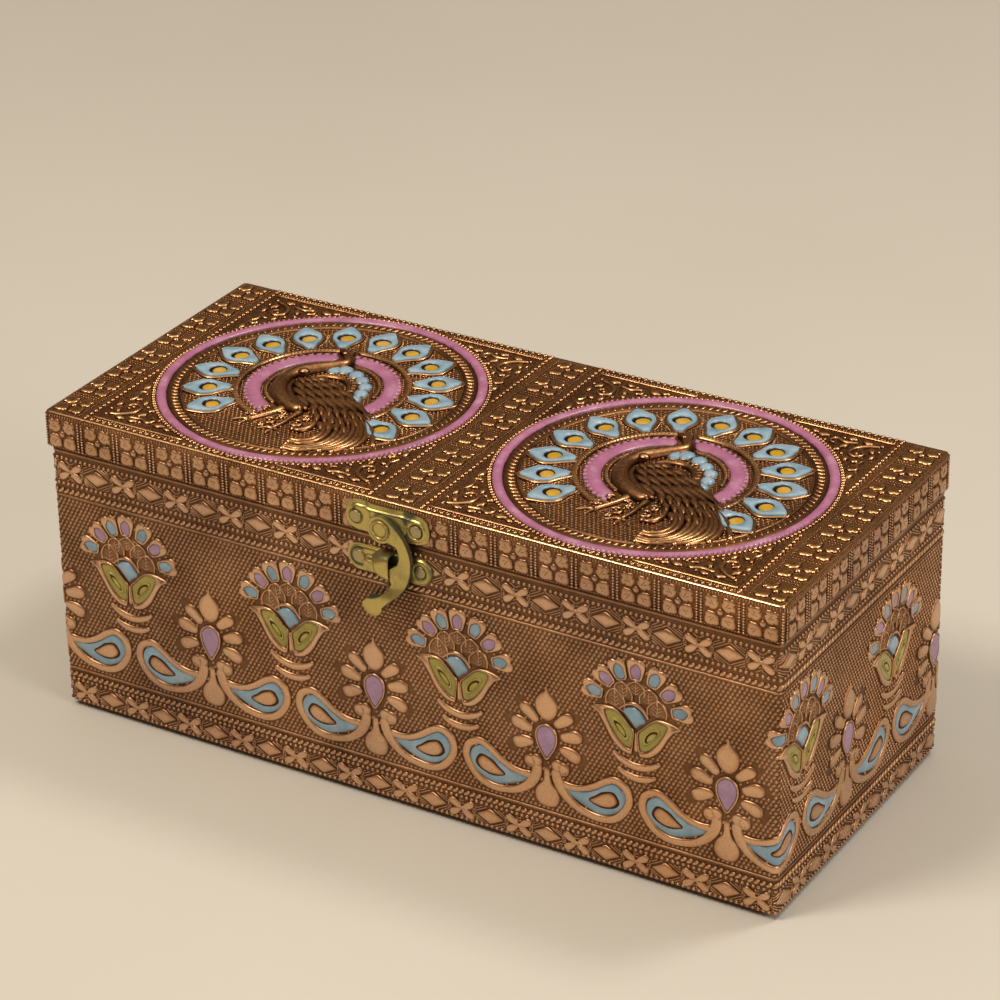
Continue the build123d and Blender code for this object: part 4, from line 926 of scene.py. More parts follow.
def peacock(r):
    """The standing bird, in mm from the middle of its medallion."""
    smooth = ((-1, 0), (-0.9, 0.42), (-0.62, 0.78), (-0.3, 0.95), (0, 1), (0.3, 0.95), (0.62, 0.78),
              (0.9, 0.42), (1, 0))
    neck = [(3.9, -17.4, 1.3), (0.6, -16.3, 2.5), (-3.75, -14.3, 3.0), (-8.1, -11.2, 3.0),
            (-11.2, -6.9, 2.8), (-13.0, -1.9, 2.6), (-13.1, 2.5, 2.6), (-11.7, 6.9, 2.8),
            (-8.3, 10.5, 2.6), (-4.9, 13.6, 2.2), (-2.3, 16.6, 2.0), (-2.6, 19.3, 1.9),
            (-4.4, 21.6, 1.5), (-6.6, 23.2, 0.9), (-8.8, 23.4, 0.4)]
    r.stroke(neck, 2.3, step=0.7, section=smooth, worn=0.72)
    r.stroke([(-9.7, -0.4, 0.5), (-8.9, -4.8, 1.1), (-5.2, -9.6, 1.5), (0.4, -13.2, 1.5),
              (4.6, -15.6, 0.9)], 1.35, section=smooth, worn=0.6)
    r.stroke([(-7.4, 25.6, 0.25), (-6.2, 24.6, 0.4), (-5.6, 22.9, 0.5)], 1.2, clear=0.2)
    r.stroke([(-5.0, 26.2, 0.25), (-4.6, 24.8, 0.4), (-4.6, 22.9, 0.5)], 1.2, clear=0.2)
    r.mound(circle(1.9, (-9.6, 4.6), 10, 1.7), 1.0, base=1.7, crown=2.5, worn=1.0, clear=None)
    r.mound(circle(0.75, (-5.2, 21.0), 7), 0.5, base=1.95, crown=2.5, step=0.4, clear=None)
    r.mound([(-9.2, 0.6), (-6.0, 3.0), (0.6, 3.2), (8.4, 0.8), (14.0, -3.2), (22.6, -10.8),
             (15.0, -11.6), (8.0, -12.6), (2.2, -12.6), (-3.5, -8.6), (-7.6, -4.4)], 0.75, crown=3,
            worn=0.25, centre=(2.5, -5.5), low=0.0)
    for first_start, last_start, first_end, last_end, count, half, base in WING_ROWS:
        for k in range(count):
            t = k / (count - 1)
            start = np.array(first_start) * (1 - t) + np.array(last_start) * t
            end = np.array(first_end) * (1 - t) + np.array(last_end) * t
            plume(r, start, end, half * 1.12, 0.52, base, bow=0.35 + 0.5 * t, worn=0.8)
    for u, v, size in ((-3.3, 11.6, 2.1), (-0.4, 13.7, 2.6), (4.4, 12.4, 2.45), (8.1, 9.9, 2.2),
                       (11.2, 6.7, 2.2), (12.6, 2.2, 2.2), (13.0, -2.1, 2.1)):
        r.mound(circle(size, (u, v), 12), 1.2, BLUE, crown=2.5, low=0.3, clear=0.4)
        r.stroke(placed(arc(size * 1.12, 200, 340, width=0.5), (u, v), -35), 0.7, step=0.6, clear=None)
    r.stroke([(-3.9, 9.6, 0.9), (-3.4, 11.4, 1.4), (-2.2, 13.4, 1.1)], 1.35, BLUE, clear=None)
    r.stroke([(-5.6, 4.6, 0.6), (-2.6, 7.2, 1.1), (1.9, 8.0, 1.2), (5.6, 6.3, 1.2), (7.9, 3.1, 1.0),
              (9.3, -0.3, 0.6)], 1.25, worn=0.75)
    for k in range(13):
        turn = 158 - 13 * k
        place = (1.4 + 8.2 * math.cos(math.radians(turn)), 0.6 + 7.9 * math.sin(math.radians(turn)))
        r.stroke([np.array(place) * 0.93 + (0.1, 0), place, np.array(place) * 1.09], 0.55, width=0.5,
                 section=WIRE, base=0.85, step=1, clear=None)
    for k, (first, last, share) in enumerate(((0, 0, 0), (1, 1, 0), (1, 2, 0.55), (2, 3, 0.2), (2, 3, 0.62),
                                              (3, 3, 0), (3, 4, 0.4), (3, 4, 0.75), (4, 4, 0), (4, 5, 0.5),
                                              (5, 5, 0))):
        path = between(TAIL[first], TAIL[last], share)
        half = np.interp(np.linspace(0, 1, len(path)), (0, 0.45, 0.8, 1), (0.5, 1.12, 0.95, 0.55))
        r.stroke(np.column_stack([path, half]), 1.35 - 0.12 * (k % 2), step=0.8, worn=0.85)
        r.mound(circle(1.15, path[-1] + (0.2, 0.1), 8), 1.25, crown=2.5, clear=0.25, worn=0.9)
    for row, (u, v, reach, lift) in enumerate(((5.0, -12.6, 6.6, 0.95), (8.6, -16.4, 6.2, 0.8),
                                               (12.6, -20.6, 6.0, 0.7))):
        for k in range(8 - 2 * row):
            start = np.array([u + 2.35 * k, v + 0.32 * k])
            plume(r, start, start + reach * np.array([0.5 + 0.03 * k, -0.84 + 0.04 * k]), 1.1, 0.75, lift,
                  bow=0.3, worn=0.85)
    for leg, toes in (([(-2.9, -15.8, 2.0), (-3.5, -19.6, 1.5), (-4.6, -23.2, 0.8), (-7.6, -28.8, 0.65)],
                       ((-11.9, -31.4), (-8.4, -33.0), (-4.6, -31.6))),
                      ([(3.2, -16.4, 1.7), (3.2, -20.4, 0.95), (3.1, -25.8, 0.7), (2.2, -30.4, 0.65)],
                       ((-1.9, -32.8), (2.0, -34.4), (5.9, -32.8)))):
        r.stroke(leg, 1.15, worn=0.9)
        foot = np.array(leg[-1][:2])
        for toe in toes:
            half = (foot + toe) / 2 + (0, 0.8)
            r.stroke([(*foot, 0.5), (*half, 0.5), (*toe, 0.3)], 0.8, step=0.8)
    for u, v, size in ((-8.9, -25.0, 1.5), (-1.6, -26.6, 1.7), (0.6, -23.6, 1.2), (6.6, -24.4, 1.7),
                       (7.2, -20.2, 1.3), (-7.2, -19.9, 1.2), (-1.0, -20.6, 1.2), (-2.6, -29.8, 1.0)):
        r.stroke(placed(arc(size, -30, 230, width=0.85), (u, v), 40 * u), 0.85, step=0.6)
        r.stamp([(u, v)], 1.0, 0.8, clear=0.2)


def slanted_ticks(r, turns, ends, height, **settings):
    """Short lines across a ring at these angles; their points are (radius, further turn, half width)."""
    for turn in turns:
        r.stroke([(*polar(radius, turn + shift), *half) for radius, shift, *half in ends], height,
                 clear=None, **settings)


def medallion():
    """Everything inside and on the ring, in mm from the medallion's middle."""
    r = Relief()
    turn = np.arange(200) * 360 / 200
    r.stamp(np.array([polar(RING, a) for a in turn]), 1.75, 0.66, length=1.45, angle=turn + 90)
    r.stroke(circle(PINK_RING, count=48), 0.95, PINK, width=3.3, closed=True, step=1.3, worn=0.95,
             section=((-1, 0), (-0.85, 0.55), (-0.45, 0.92), (0, 1), (0.45, 0.92), (0.85, 0.55), (1, 0)))
    slanted_ticks(r, np.arange(200) * 1.8, ((50.45, 0), (49.6, 0.75), (48.7, 1.3)), 0.34, paint=PINK,
                  base=0.66, width=0.75, step=1, section=WIRE)
    r.stroke(circle(ROPE_RING, count=48), 0.5, width=4.4, closed=True, step=1.3, worn=0.62,
             section=((-1, 0.15), (-0.85, 0.6), (-0.45, 0.92), (0, 1), (0.45, 0.92), (0.85, 0.6),
                      (1, 0.15)))
    r.stroke(circle(FINE_RING, count=48), 0.55, width=0.6, closed=True, step=1.3, section=WIRE)
    slanted_ticks(r, np.arange(126) * 360 / 126, ((46.2, 0, 0.3), (45.1, 0.85, 0.62), (43.9, 1.6, 0.35)),
                  0.46, base=0.34, step=0.8)
    for k in range(EYE_COUNT):
        eye, angle = Relief(), FIRST_EYE + EYE_TURN * k
        feather_eye(eye, angle)
        r.take(eye, polar(EYE_REACH, angle), angle)
    for ends in OUTER_ENDS:
        r.stroke(arc(OUTER_ARCH, *ends, width=2.3), 0.9)
    for start, end in PINK_ENDS:
        r.stroke(arc(PINK_ARCH, start, end, width=4.9), 0.85, PINK, step=0.9, worn=0.95,
                 section=((-1, 0), (-0.88, 0.6), (-0.5, 0.9), (0, 1), (0.5, 0.9), (0.88, 0.6), (1, 0)))
        knobs = np.arange(start, end, -5.9)
        r.stamp([polar(23.4, a) for a in knobs], 2.0, 0.8, length=2.1, paint=PINK, worn=0.95)
    for ends in INNER_ENDS:
        r.stroke(arc(INNER_ARCH, *ends, width=1.7), 0.65, worn=0.8)
    for start, end in OUTER_ENDS:
        slanted_ticks(r, np.arange(start - 1, end, -2.6), ((25.7, 0), (26.5, -0.9), (27.3, -1.6)), 0.3,
                      base=0.72, width=0.55, step=1, section=WIRE)
    for start, end in INNER_ENDS:
        slanted_ticks(r, np.arange(start - 1, end, -3.4), ((16.8, 0), (17.3, -1.2), (17.9, -2.2)), 0.3,
                      base=0.5, width=0.5, step=1, section=WIRE)
    peacock(r)
    return r


def spandrel(r):
    """Scrolls and leaves in the corner of a panel; the origin is the corner, +u and +v point in."""
    r.stroke([(3.0, 3.2, 0.6), (6.4, 4.4, 0.7), (9.4, 7.2, 0.75), (9.6, 10.8, 0.7), (6.8, 12.0, 0.6),
              (5.3, 9.8, 0.55), (6.9, 8.5, 0.4)], 0.7)
    r.stroke([(9.8, 4.0, 0.6), (14.0, 4.6, 0.7), (17.2, 3.4, 0.7), (18.2, 5.9, 0.55), (16.2, 6.8, 0.4)],
             0.65)
    r.stroke([(3.4, 13.4, 0.6), (4.2, 16.6, 0.7), (3.0, 19.6, 0.7), (5.2, 20.6, 0.55), (6.0, 18.8, 0.4)],
             0.65)
    leaf = [(-1.9, 0), (-0.9, 0.85), (0.6, 1.05), (2.2, 0), (0.6, -1.05), (-0.9, -0.85)]
    for u, v, turn, scale in ((4.2, 6.6, 120, 1.0), (7.2, 2.6, -10, 1.0), (12.2, 2.2, 15, 0.9),
                              (12.8, 7.0, 60, 1.0), (2.4, 10.2, 85, 0.9), (9.0, 14.3, 100, 0.9),
                              (21.2, 3.3, 10, 1.1), (3.0, 23.6, 85, 1.1), (24.6, 2.4, -15, 0.8),
                              (13.8, 10.2, 35, 0.7), (5.6, 15.2, 20, 0.7)):
        r.mound(placed(leaf, (u, v), turn, scale=scale), 0.72, crown=3, step=0.7)
    for u, v in ((7.4, 10.2), (2.6, 2.6), (14.9, 2.6), (19.6, 6.2), (6.6, 22.0), (1.9, 6.4), (27.2, 3.0),
                 (3.0, 27.0), (11.4, 12.0)):
        r.stamp([(u, v)], 1.3, 0.65, clear=0.25)


def lid_top_pattern():
    """The whole top in mm from its middle."""
    whole = Relief()
    round_one = medallion()
    corner = Relief()
    spandrel(corner)
    for centre, low, high in ((-PANEL_X, BEAD_COLUMNS[0], BEAD_COLUMNS[1]),
                              (PANEL_X, BEAD_COLUMNS[2], BEAD_COLUMNS[3])):
        panel = Relief()
        panel.take(round_one)
        left, right = low - centre + 1.2, high - centre - 1.2
        near, far = -LID_Y - PANEL_Y + 4.2, LID_Y - PANEL_Y - 5.0
        for u, v, turn, flip in ((left, near, 0, False), (right, near, 0, True),
                                 (left, far, 180, True), (right, far, 180, False)):
            panel.take(corner, (u, v), turn, flip)
        grid = []
        for row in range(78):
            for k in range(72):
                grid.append(((k - 36 + 0.5 * (row % 2)) * GROUND_ACROSS, (row - 39) * GROUND_UP))
        grid = np.array(grid)
        reach = np.hypot(*grid.T)
        grid = grid[panel.free(grid) & (reach < GROUND_REACH)]
        panel.stamp(grid, 0.98, 0.48, sides=6, worn=0.72, scales=(1, 0.64))
        hatch = []
        for k in range(140):
            for row in range(140):
                hatch.append((left + k * CORNER_ACROSS, near + row * CORNER_UP))
        hatch = np.array(hatch)
        inside_panel = (hatch[:, 0] < right) & (hatch[:, 1] < far) & (np.hypot(*hatch.T) > RING + 0.9)
        hatch = hatch[inside_panel]
        hatch = hatch[panel.free(hatch)]
        panel.stamp(hatch, 0.42, 0.16, length=0.8, angle=35, sides=5, worn=0.35, scales=(1, 0.6))
        whole.take(panel, (centre, PANEL_Y))
    edge = LID_Y - 1.0
    for column in BEAD_COLUMNS:
        v = np.arange(-edge + 1.6, edge - 1.5, 2.13)
        places = row_of(column, v)
        centre = -PANEL_X if column < 0 else PANEL_X
        gap = np.hypot(places[:, 0] - centre, places[:, 1] - PANEL_Y)
        whole.stamp(places[gap > RING + 1.3], 1.65, 0.66, length=1.8, angle=60)
    for strip in STRIPS:
        for k in range(STRIP_FLOWERS):
            v = -LID_Y + STRIP_FIRST + STRIP_PITCH * k
            four_petals(whole, (strip, v), rise=0.55)
            if k < STRIP_FLOWERS - 1:
                for shift in (-0.62, 0.62):
                    u = strip + np.arange(-4.6, 4.7, 0.93)
                    whole.stamp(row_of(u, v + STRIP_PITCH / 2 + shift), 0.62, 0.34, sides=6, worn=0.8)
        for side in (-1, 1):
            v = np.arange(-edge + 0.8, edge - 0.5, 0.98)
            column = strip + side * 5.75
            if abs(column) < LID_X - 0.6:
                whole.stamp(row_of(column, v), 0.7, 0.34, sides=6, worn=0.7)
    for low, high in ((BEAD_COLUMNS[0], BEAD_COLUMNS[1]), (BEAD_COLUMNS[2], BEAD_COLUMNS[3])):
        count = int((high - low) / 2.17)
        u = np.linspace(low, high, count)
        for v in (-edge + 0.4, edge - 0.4):
            whole.stamp(row_of(u, v), 1.7, 0.62)
        centre = (low + high) / 2
        for v, hand in ((-LID_Y + 3.4, 1), (LID_Y - 4.3, -1)):
            half = math.sqrt(max(0, (RING + 1.2) ** 2 - (v - PANEL_Y) ** 2))
            for start, end in ((low + 1.2, centre - half), (centre + half, high - 1.2)):
                whole.stroke([(start, v), ((start + end) / 2, v), (end, v)], 0.55, width=0.9, step=3)
                ticks = np.arange(start + 0.5, end - 0.2, 1.05)
                whole.stamp(row_of(ticks, v - hand * 1.15), 0.55, 0.4, length=1.2, angle=80, sides=6)
    return whole


def sheet_edge(name, half_x, front, back, rings, body, replaced, material, cap_top=False):
    """The plain sheet under the embossing: rings of (distance out, height) round the box."""
    wall = Wall(half_x, front, back, 0.0)
    count = 24
    stops = [0.0]
    for start, run in zip(wall.starts, (wall.long, wall.deep, wall.long, wall.deep)):
        stops += list(np.linspace(start, start + run, count + 1)[1:])
        stops += [start + run + wall.bend * k / 6 for k in range(1, 7)]
    stops = np.array(stops[:-1])
    net = []
    for out, height, _ in rings:
        flat = np.column_stack([stops, np.zeros(len(stops)), np.full(len(stops), out)])
        ring = wall.place(flat)
        ring[:, 2] = height
        net.append(ring)
    n, k = len(rings), len(stops)
    shade = np.repeat([ring[2] for ring in rings], k)
    quads = net_quads(n, k, closed_across=True)[:, OTHER_WAY]
    piece = make_mesh(name, np.vstack(net), shade, plain(quads), [material])
    if cap_top:
        bm = bmesh.new()
        bm.from_mesh(piece.data)
        bm.verts.ensure_lookup_table()
        bm.faces.new([bm.verts[i] for i in range((n - 1) * k, n * k)])
        bm.to_mesh(piece.data)
        bm.free()
    settle(piece, body, replaced)


# Brass fittings on the front, pressed and cut from sheet
def smooth(value, low, high):
    """0 below the low value, 1 above the high one and a soft step between them."""
    t = np.clip((value - low) / (high - low), 0, 1)
    return t * t * (3 - 2 * t)


def ridge(value, middle, width):
    """1 on a line and 0 away from it."""
    return np.exp(-((value - middle) / width) ** 2)


def line_gap(points, start, end):
    """Distance from points to the line between two places."""
    start, end = np.array(start, float), np.array(end, float)
    way = end - start
    t = np.clip((points - start) @ way / (way @ way), 0, 1)
    return np.hypot(*(points - start - t[:, None] * way).T)


def edge_gap(points, outline):
    """Distance from points to the nearest side of an outline."""
    gap = np.full(len(points), 1e9)
    for a, b in zip(outline, np.roll(outline, -1, 0)):
        gap = np.minimum(gap, line_gap(points, a, b))
    return gap


def shell(name, outline, shape, back, body, replaced, material):
    """A plate with its outline in x and z. shape(points, reach) gives height and darkening at each point,
    where reach is how far in from the edge a point lies.
    The darkening holds patina in grooves and painted shade, and the side walls darken towards the back as
    painted shade and dark reflection."""
    step, rim = 0.34, 2.3
    outline = ring_of(outline, step)[:, :2]
    points = [outline]
    ahead = np.roll(outline, -1, 0) - np.roll(outline, 1, 0)
    inward = np.column_stack([-ahead[:, 1], ahead[:, 0]]) / np.hypot(*ahead.T)[:, None]
    if not inside(outline[:1] + inward[:1] * 0.05, outline)[0]:
        inward = -inward
    for reach in np.arange(0.12, rim, 0.16):
        ring = outline + inward * reach
        keep = inside(ring, outline) & (edge_gap(ring, outline) > reach * 0.97)
        points.append(ring[keep])
    low, high = outline.min(0), outline.max(0)
    grid = np.array([(x + 0.5 * step * (row % 2), z)
                     for row, z in enumerate(np.arange(low[1], high[1], step * 0.87))
                     for x in np.arange(low[0], high[0], step)])
    grid = grid[inside(grid, outline)]
    points.append(grid[edge_gap(grid, outline) > rim])
    flat = np.vstack(points)
    count = len(outline)
    found = delaunay_2d_cdt([Vector(q) for q in flat], [(k, (k + 1) % count) for k in range(count)],
                            [list(range(count))], 1, 1e-5)
    flat = np.array([tuple(v) for v in found[0]])
    tris = np.array([f for f in found[2] if len(f) == 3])
    rise, stain_and_shade = shape(flat, edge_gap(flat, outline))
    front = np.column_stack([flat[:, 0], back - rise, flat[:, 1]])
    rear = np.column_stack([flat[:, 0], np.full(len(flat), back), flat[:, 1]])
    a, b, c = (flat[tris[:, k]] for k in range(3))
    turn = (b[:, 0] - a[:, 0]) * (c[:, 1] - a[:, 1]) - (b[:, 1] - a[:, 1]) * (c[:, 0] - a[:, 0])
    tris = np.where((turn < 0)[:, None], tris[:, ::-1], tris)
    sides = np.vstack([tris[:, [0, 1]], tris[:, [1, 2]], tris[:, [2, 0]]])
    both = {tuple(e) for e in sides.tolist()}
    border = np.array([e for e in sides.tolist() if (e[1], e[0]) not in both])
    n = len(flat)
    walls = np.column_stack([border[:, 1], border[:, 0], border[:, 0] + n, border[:, 1] + n])
    # The back is fully darkened, so the side walls grow dark towards it: painted shade and painted dark
    # reflection on the plate's edges.
    piece = make_mesh(name, np.vstack([front, rear]), np.concatenate([stain_and_shade, np.ones(n)]),
                      plain(tris, tris[:, ::-1] + n, walls), [material])
    settle(piece, body, replaced, sharp=50)


def lathe(name, profile, centre, body, replaced, material, count=40):
    """A turned piece on an axis out of the front: profile is (radius, distance out)."""
    x, y, z = centre
    turn = np.linspace(0, 2 * math.pi, count, endpoint=False)
    points = np.vstack([np.column_stack([x + r * np.cos(turn), np.full(count, y - out),
                                         z + r * np.sin(turn)]) for r, out, _ in profile])
    shade = np.repeat([stain_and_shade for _, _, stain_and_shade in profile], count)
    first, last = np.arange(count), np.arange(count) + (len(profile) - 1) * count
    groups = plain(net_quads(len(profile), count, closed_across=True), first[::-1], last)
    settle(make_mesh(name, points, shade, groups, [material]), body, replaced, sharp=60)


def slot_outline(length, height, middle, count=14):
    """A bar with round ends."""
    x, z = middle
    half = (length - height) / 2
    right = [(x + half + height / 2 * math.cos(t), z + height / 2 * math.sin(t))
             for t in np.linspace(-math.pi / 2, math.pi / 2, count)]
    left = [(x - half + height / 2 * math.cos(t), z + height / 2 * math.sin(t))
            for t in np.linspace(math.pi / 2, 3 * math.pi / 2, count)]
    bottom = [(x + s, z - height / 2) for s in np.linspace(-half, half, 20)[1:-1]]
    top = [(x - s, z + height / 2) for s in np.linspace(-half, half, 20)[1:-1]]
    return np.array(right + top + left + bottom)


# Places of the fittings in x and z, the hook's back, and how the loop of the catch reaches
PLATE_NAILS = ((-13.1, 96.2), (7.5, 96.2))
CATCH_NAILS = ((-13.0, 82.6), (7.9, 82.6))
PIVOT = (-3.6, 94.9)
HOOK_BACK, HOOK_THICK = -54.95, 1.6
BODY_FACE, LID_FACE = BODY_FRONT, -LID_Y
TAIL_THICKER = 1.5
LOOP_LEFT, LOOP_RIGHT, LOOP_HALF, LOOP_RISE = -8.6, -0.9, 4.2, 4.6


def latch_plate_shape(p, reach):
    """Height and darkening: a crest above, a boss under the hook, a groove round the left nail and a dished
    place at the right one.
    Patina darkens the grooves and the dish, painted shade darkens the crest's upper flank and the line under
    it, and the plate is also darker round the foot of the boss and beside it."""
    x, z = p[:, 0], p[:, 1]
    left, right = (np.hypot(x - a, z - b) for a, b in PLATE_NAILS)
    upper = smooth(z, 96.6, 98.6) * smooth(x + 0.9 * (z - 98.0), -16.5, -12.5)
    upper = np.maximum(upper, smooth(x, 8.6, 9.8) * smooth(z, 93.5, 95.5))
    rim = np.interp(reach, (0, 0.15, 1.2, 1.5, 1.7, 1.85, 2.0, 2.2),
                    (0.15, 0.3, 0.6, 0.8, 1.1, 1.12, 0.95, 0.56))
    low_edge = np.interp(reach, (0, 0.2, 0.45), (0.3, 0.52, 0.6))
    rise = rim * upper + low_edge * (1 - upper)
    boss = line_gap(p, (-3.6, 96.0), (1.0, 96.0))
    rise = np.maximum(rise, 0.6 + 0.48 * smooth(3.5 - boss, 0, 0.7))
    rise = np.maximum(rise, 0.6 + 0.42 * smooth(3.6 - right, 0, 0.6))
    groove = ridge(x + 7.8 + 0.25 * (z - 96), 0, 0.55)
    rise = rise - 0.22 * groove * (1 - upper) - 0.22 * ridge(left, 2.15, 0.3)
    rise = rise - 0.45 * smooth(2.5 - right, 0, 0.35)
    rise = rise - 0.35 * ridge(line_gap(p, (3.5, 96.2), (5.2, 96.2)), 0, 0.35)
    stain_and_shade = 0.85 * ridge(left, 2.15, 0.32) + 0.9 * ridge(right, 2.15, 0.35) + 0.5 * groove
    # Painted shade: a dark line under the crest and a darker upper flank. The plate is also darker round the
    # foot of the boss and beside it.
    stain_and_shade = stain_and_shade + 0.7 * upper * ridge(reach, 2.35, 0.3) + 0.6 * ridge(boss, 3.7, 0.35)
    stain_and_shade = stain_and_shade + 0.25 * upper * smooth(1.5 - reach, 0, 1.2)
    beside_boss = smooth(x, 2.6, 4.0) * smooth(4.2 - np.abs(x - 4.0), 0, 2.5)
    stain_and_shade = stain_and_shade + 0.8 * beside_boss * smooth(right, 3.4, 4.0)
    return np.maximum(rise, 0.08), np.clip(stain_and_shade, 0, 1)


def catch_plate_shape(p, reach):
    """Height and darkening: a crest above, two ribs to the loop and a raised ring round the right nail.
    Patina darkens the groove round the left nail and the groove between the ribs, and painted shade darkens
    the line under the crest. The plate is also darker inside the ring and along the edge at its right end.
    """
    x, z = p[:, 0], p[:, 1]
    left, right = (np.hypot(x - a, z - b) for a, b in CATCH_NAILS)
    upper = smooth(z, 82.5, 84.5)
    rim = np.interp(reach, (0, 0.25, 0.6, 0.9, 1.15, 1.5), (0.1, 0.4, 0.8, 0.98, 0.8, 0.56))
    low_edge = np.interp(reach, (0, 0.2, 0.45), (0.3, 0.5, 0.6))
    rise = rim * upper + low_edge * (1 - upper)
    along_left = smooth(x, -10.9, -10.3) * smooth(-x, 7.4, 8.2)
    for shift in (-0.75, 0.75):
        rise = np.maximum(rise, 0.6 + 0.55 * ridge(z, CATCH_NAILS[0][1] + shift, 0.42) * along_left)
    rise = rise - 0.32 * ridge(left, 2.75, 0.5) * smooth(-11.6 - x, -0.6, 0.9)
    ring = np.clip(1 - ((right - 3.0) / 1.05) ** 2, 0, 1) ** 0.5
    rise = np.maximum(rise, 0.6 + 0.75 * ring * smooth(x, 3.6, 4.6))
    rise = np.where(right < 2.0, 0.45, rise)
    stain_and_shade = 1.0 * ridge(left, 2.75, 0.62) * smooth(-11.4 - x, -0.6, 0.9) + 0.9 * smooth(2.3 - right, 0, 0.3)
    # Painted shade: a dark line along the foot of the crest.
    stain_and_shade = stain_and_shade + 0.6 * upper * ridge(reach, 1.5, 0.25)
    stain_and_shade = stain_and_shade + 0.7 * smooth(x, 8.5, 11.0) * smooth(reach, 1.2, 0.2)
    stain_and_shade = stain_and_shade + 0.5 * ridge(z, CATCH_NAILS[0][1], 0.3) * along_left
    return np.maximum(rise, 0.08), np.clip(stain_and_shade, 0, 1)


def catch_loop(material):
    """The raised loop: a closed, domed end on the left and a tunnel that opens to the right."""
    middle = CATCH_NAILS[0][1]
    across = np.linspace(-1, 1, 41)
    stops = np.concatenate([np.linspace(0, 0.6, 22), np.linspace(0.6, 1, 6)[1:]])
    sections = []

    def section(x, half, rise, power):
        turn = (across + 1) / 2 * math.pi
        cos, sin = np.cos(turn), np.sin(turn)
        return np.column_stack([np.full(len(across), x),
                                BODY_FACE - rise * np.abs(sin) ** (2 / power),
                                middle + half * np.sign(cos) * np.abs(cos) ** (2 / power)])

    first = LOOP_LEFT - 0.7
    for t in stops:
        x = first + (LOOP_RIGHT - first) * t
        grow = smooth(t, 0, 0.5)
        sections.append(section(x, 1.9 + (LOOP_HALF - 1.9) * grow, 0.62 + (LOOP_RISE - 0.62) * grow,
                                2.0 + 2.6 * smooth(t, 0.4, 1.0)))
    sections.append(section(LOOP_RIGHT + 0.06, LOOP_HALF - 0.2, LOOP_RISE - 0.2, 8.0))
    sections.append(section(LOOP_RIGHT, LOOP_HALF - 0.58, LOOP_RISE - 0.56, 11.0))
    for t in (0.9, 0.75, 0.6, 0.5, 0.42):
        x = first + (LOOP_RIGHT - first) * t
        grow = smooth(t, 0.1, 0.55)
        sections.append(section(x, (LOOP_HALF - 0.6) * (0.4 + 0.6 * grow), (LOOP_RISE - 0.6) * grow,
                                4.0 + 7.0 * smooth(t, 0.4, 0.8)))
    net = np.stack(sections)
    n, k = net.shape[:2]
    index = np.arange(n * k).reshape(n, k)
    quads = net_quads(n, k)[:, OTHER_WAY]
    # Painted dark reflection on the upper side of the loop, and painted shade on the inner sections inside
    # the tunnel.
    above = 0.75 * smooth(np.cos((across + 1) / 2 * math.pi), 0.25, 0.75)
    shade = np.concatenate([np.tile(above, len(stops)), np.full((n - len(stops)) * k, 0.8)])
    centre = net[:len(stops)].mean((0, 1))
    a, b, d = (net.reshape(-1, 3)[quads[:, j]] for j in (0, 1, 3))
    facing = (np.cross(b - a, d - a) * (a - centre))[:200].sum()
    if facing < 0:
        quads = quads[:, ::-1]
    ends = [index[0][::-1], index[-1]] if facing >= 0 else [index[0], index[-1][::-1]]
    settle(make_mesh("catch_loop", net.reshape(-1, 3), shade, plain(quads, *ends), [material]), "box")


def arc_through(a, b, c, count):
    """Points on the arc from a to c by way of b."""
    (ax, ay), (bx, by), (cx, cy) = a, b, c
    d = 2 * (ax * (by - cy) + bx * (cy - ay) + cx * (ay - by))
    ux = ((ax * ax + ay * ay) * (by - cy) + (bx * bx + by * by) * (cy - ay)
          + (cx * cx + cy * cy) * (ay - by)) / d
    uy = ((ax * ax + ay * ay) * (cx - bx) + (bx * bx + by * by) * (ax - cx)
          + (cx * cx + cy * cy) * (bx - ax)) / d
    start, via, end = (math.atan2(q[1] - uy, q[0] - ux) for q in (a, b, c))
    turn = (end - start) % (2 * math.pi)
    if (via - start) % (2 * math.pi) > turn:
        turn -= 2 * math.pi
    reach = math.hypot(ax - ux, ay - uy)
    return [(ux + reach * math.cos(start + turn * t), uy + reach * math.sin(start + turn * t))
            for t in np.linspace(0, 1, count)]


def hook_outline():
    """The crescent from the pivot disc to the barb, with a thumb tab below."""
    low_side = arc_through((3.0, 3.1), (10.1, -9.2), (3.3, -22.2), 40)
    tab = arc_through((0.7, -25.0), (-2.2, -28.3), (-6.1, -24.6), 16)
    tail = arc_through((-4.4, -22.8), (0.4, -20.9), (3.4, -16.6), 14)
    barb = arc_through((2.2, -15.4), (1.1, -13.9), (1.5, -13.1), 6)
    throat = arc_through((5.2, -10.4), (6.2, -7.4), (5.2, -4.4), 10)
    disc = [(4.3 * math.cos(math.radians(a)), 4.3 * math.sin(math.radians(a)))
            for a in np.linspace(-57, -314, 34)]
    return np.array(low_side + tab + tail + barb + throat + disc) + PIVOT


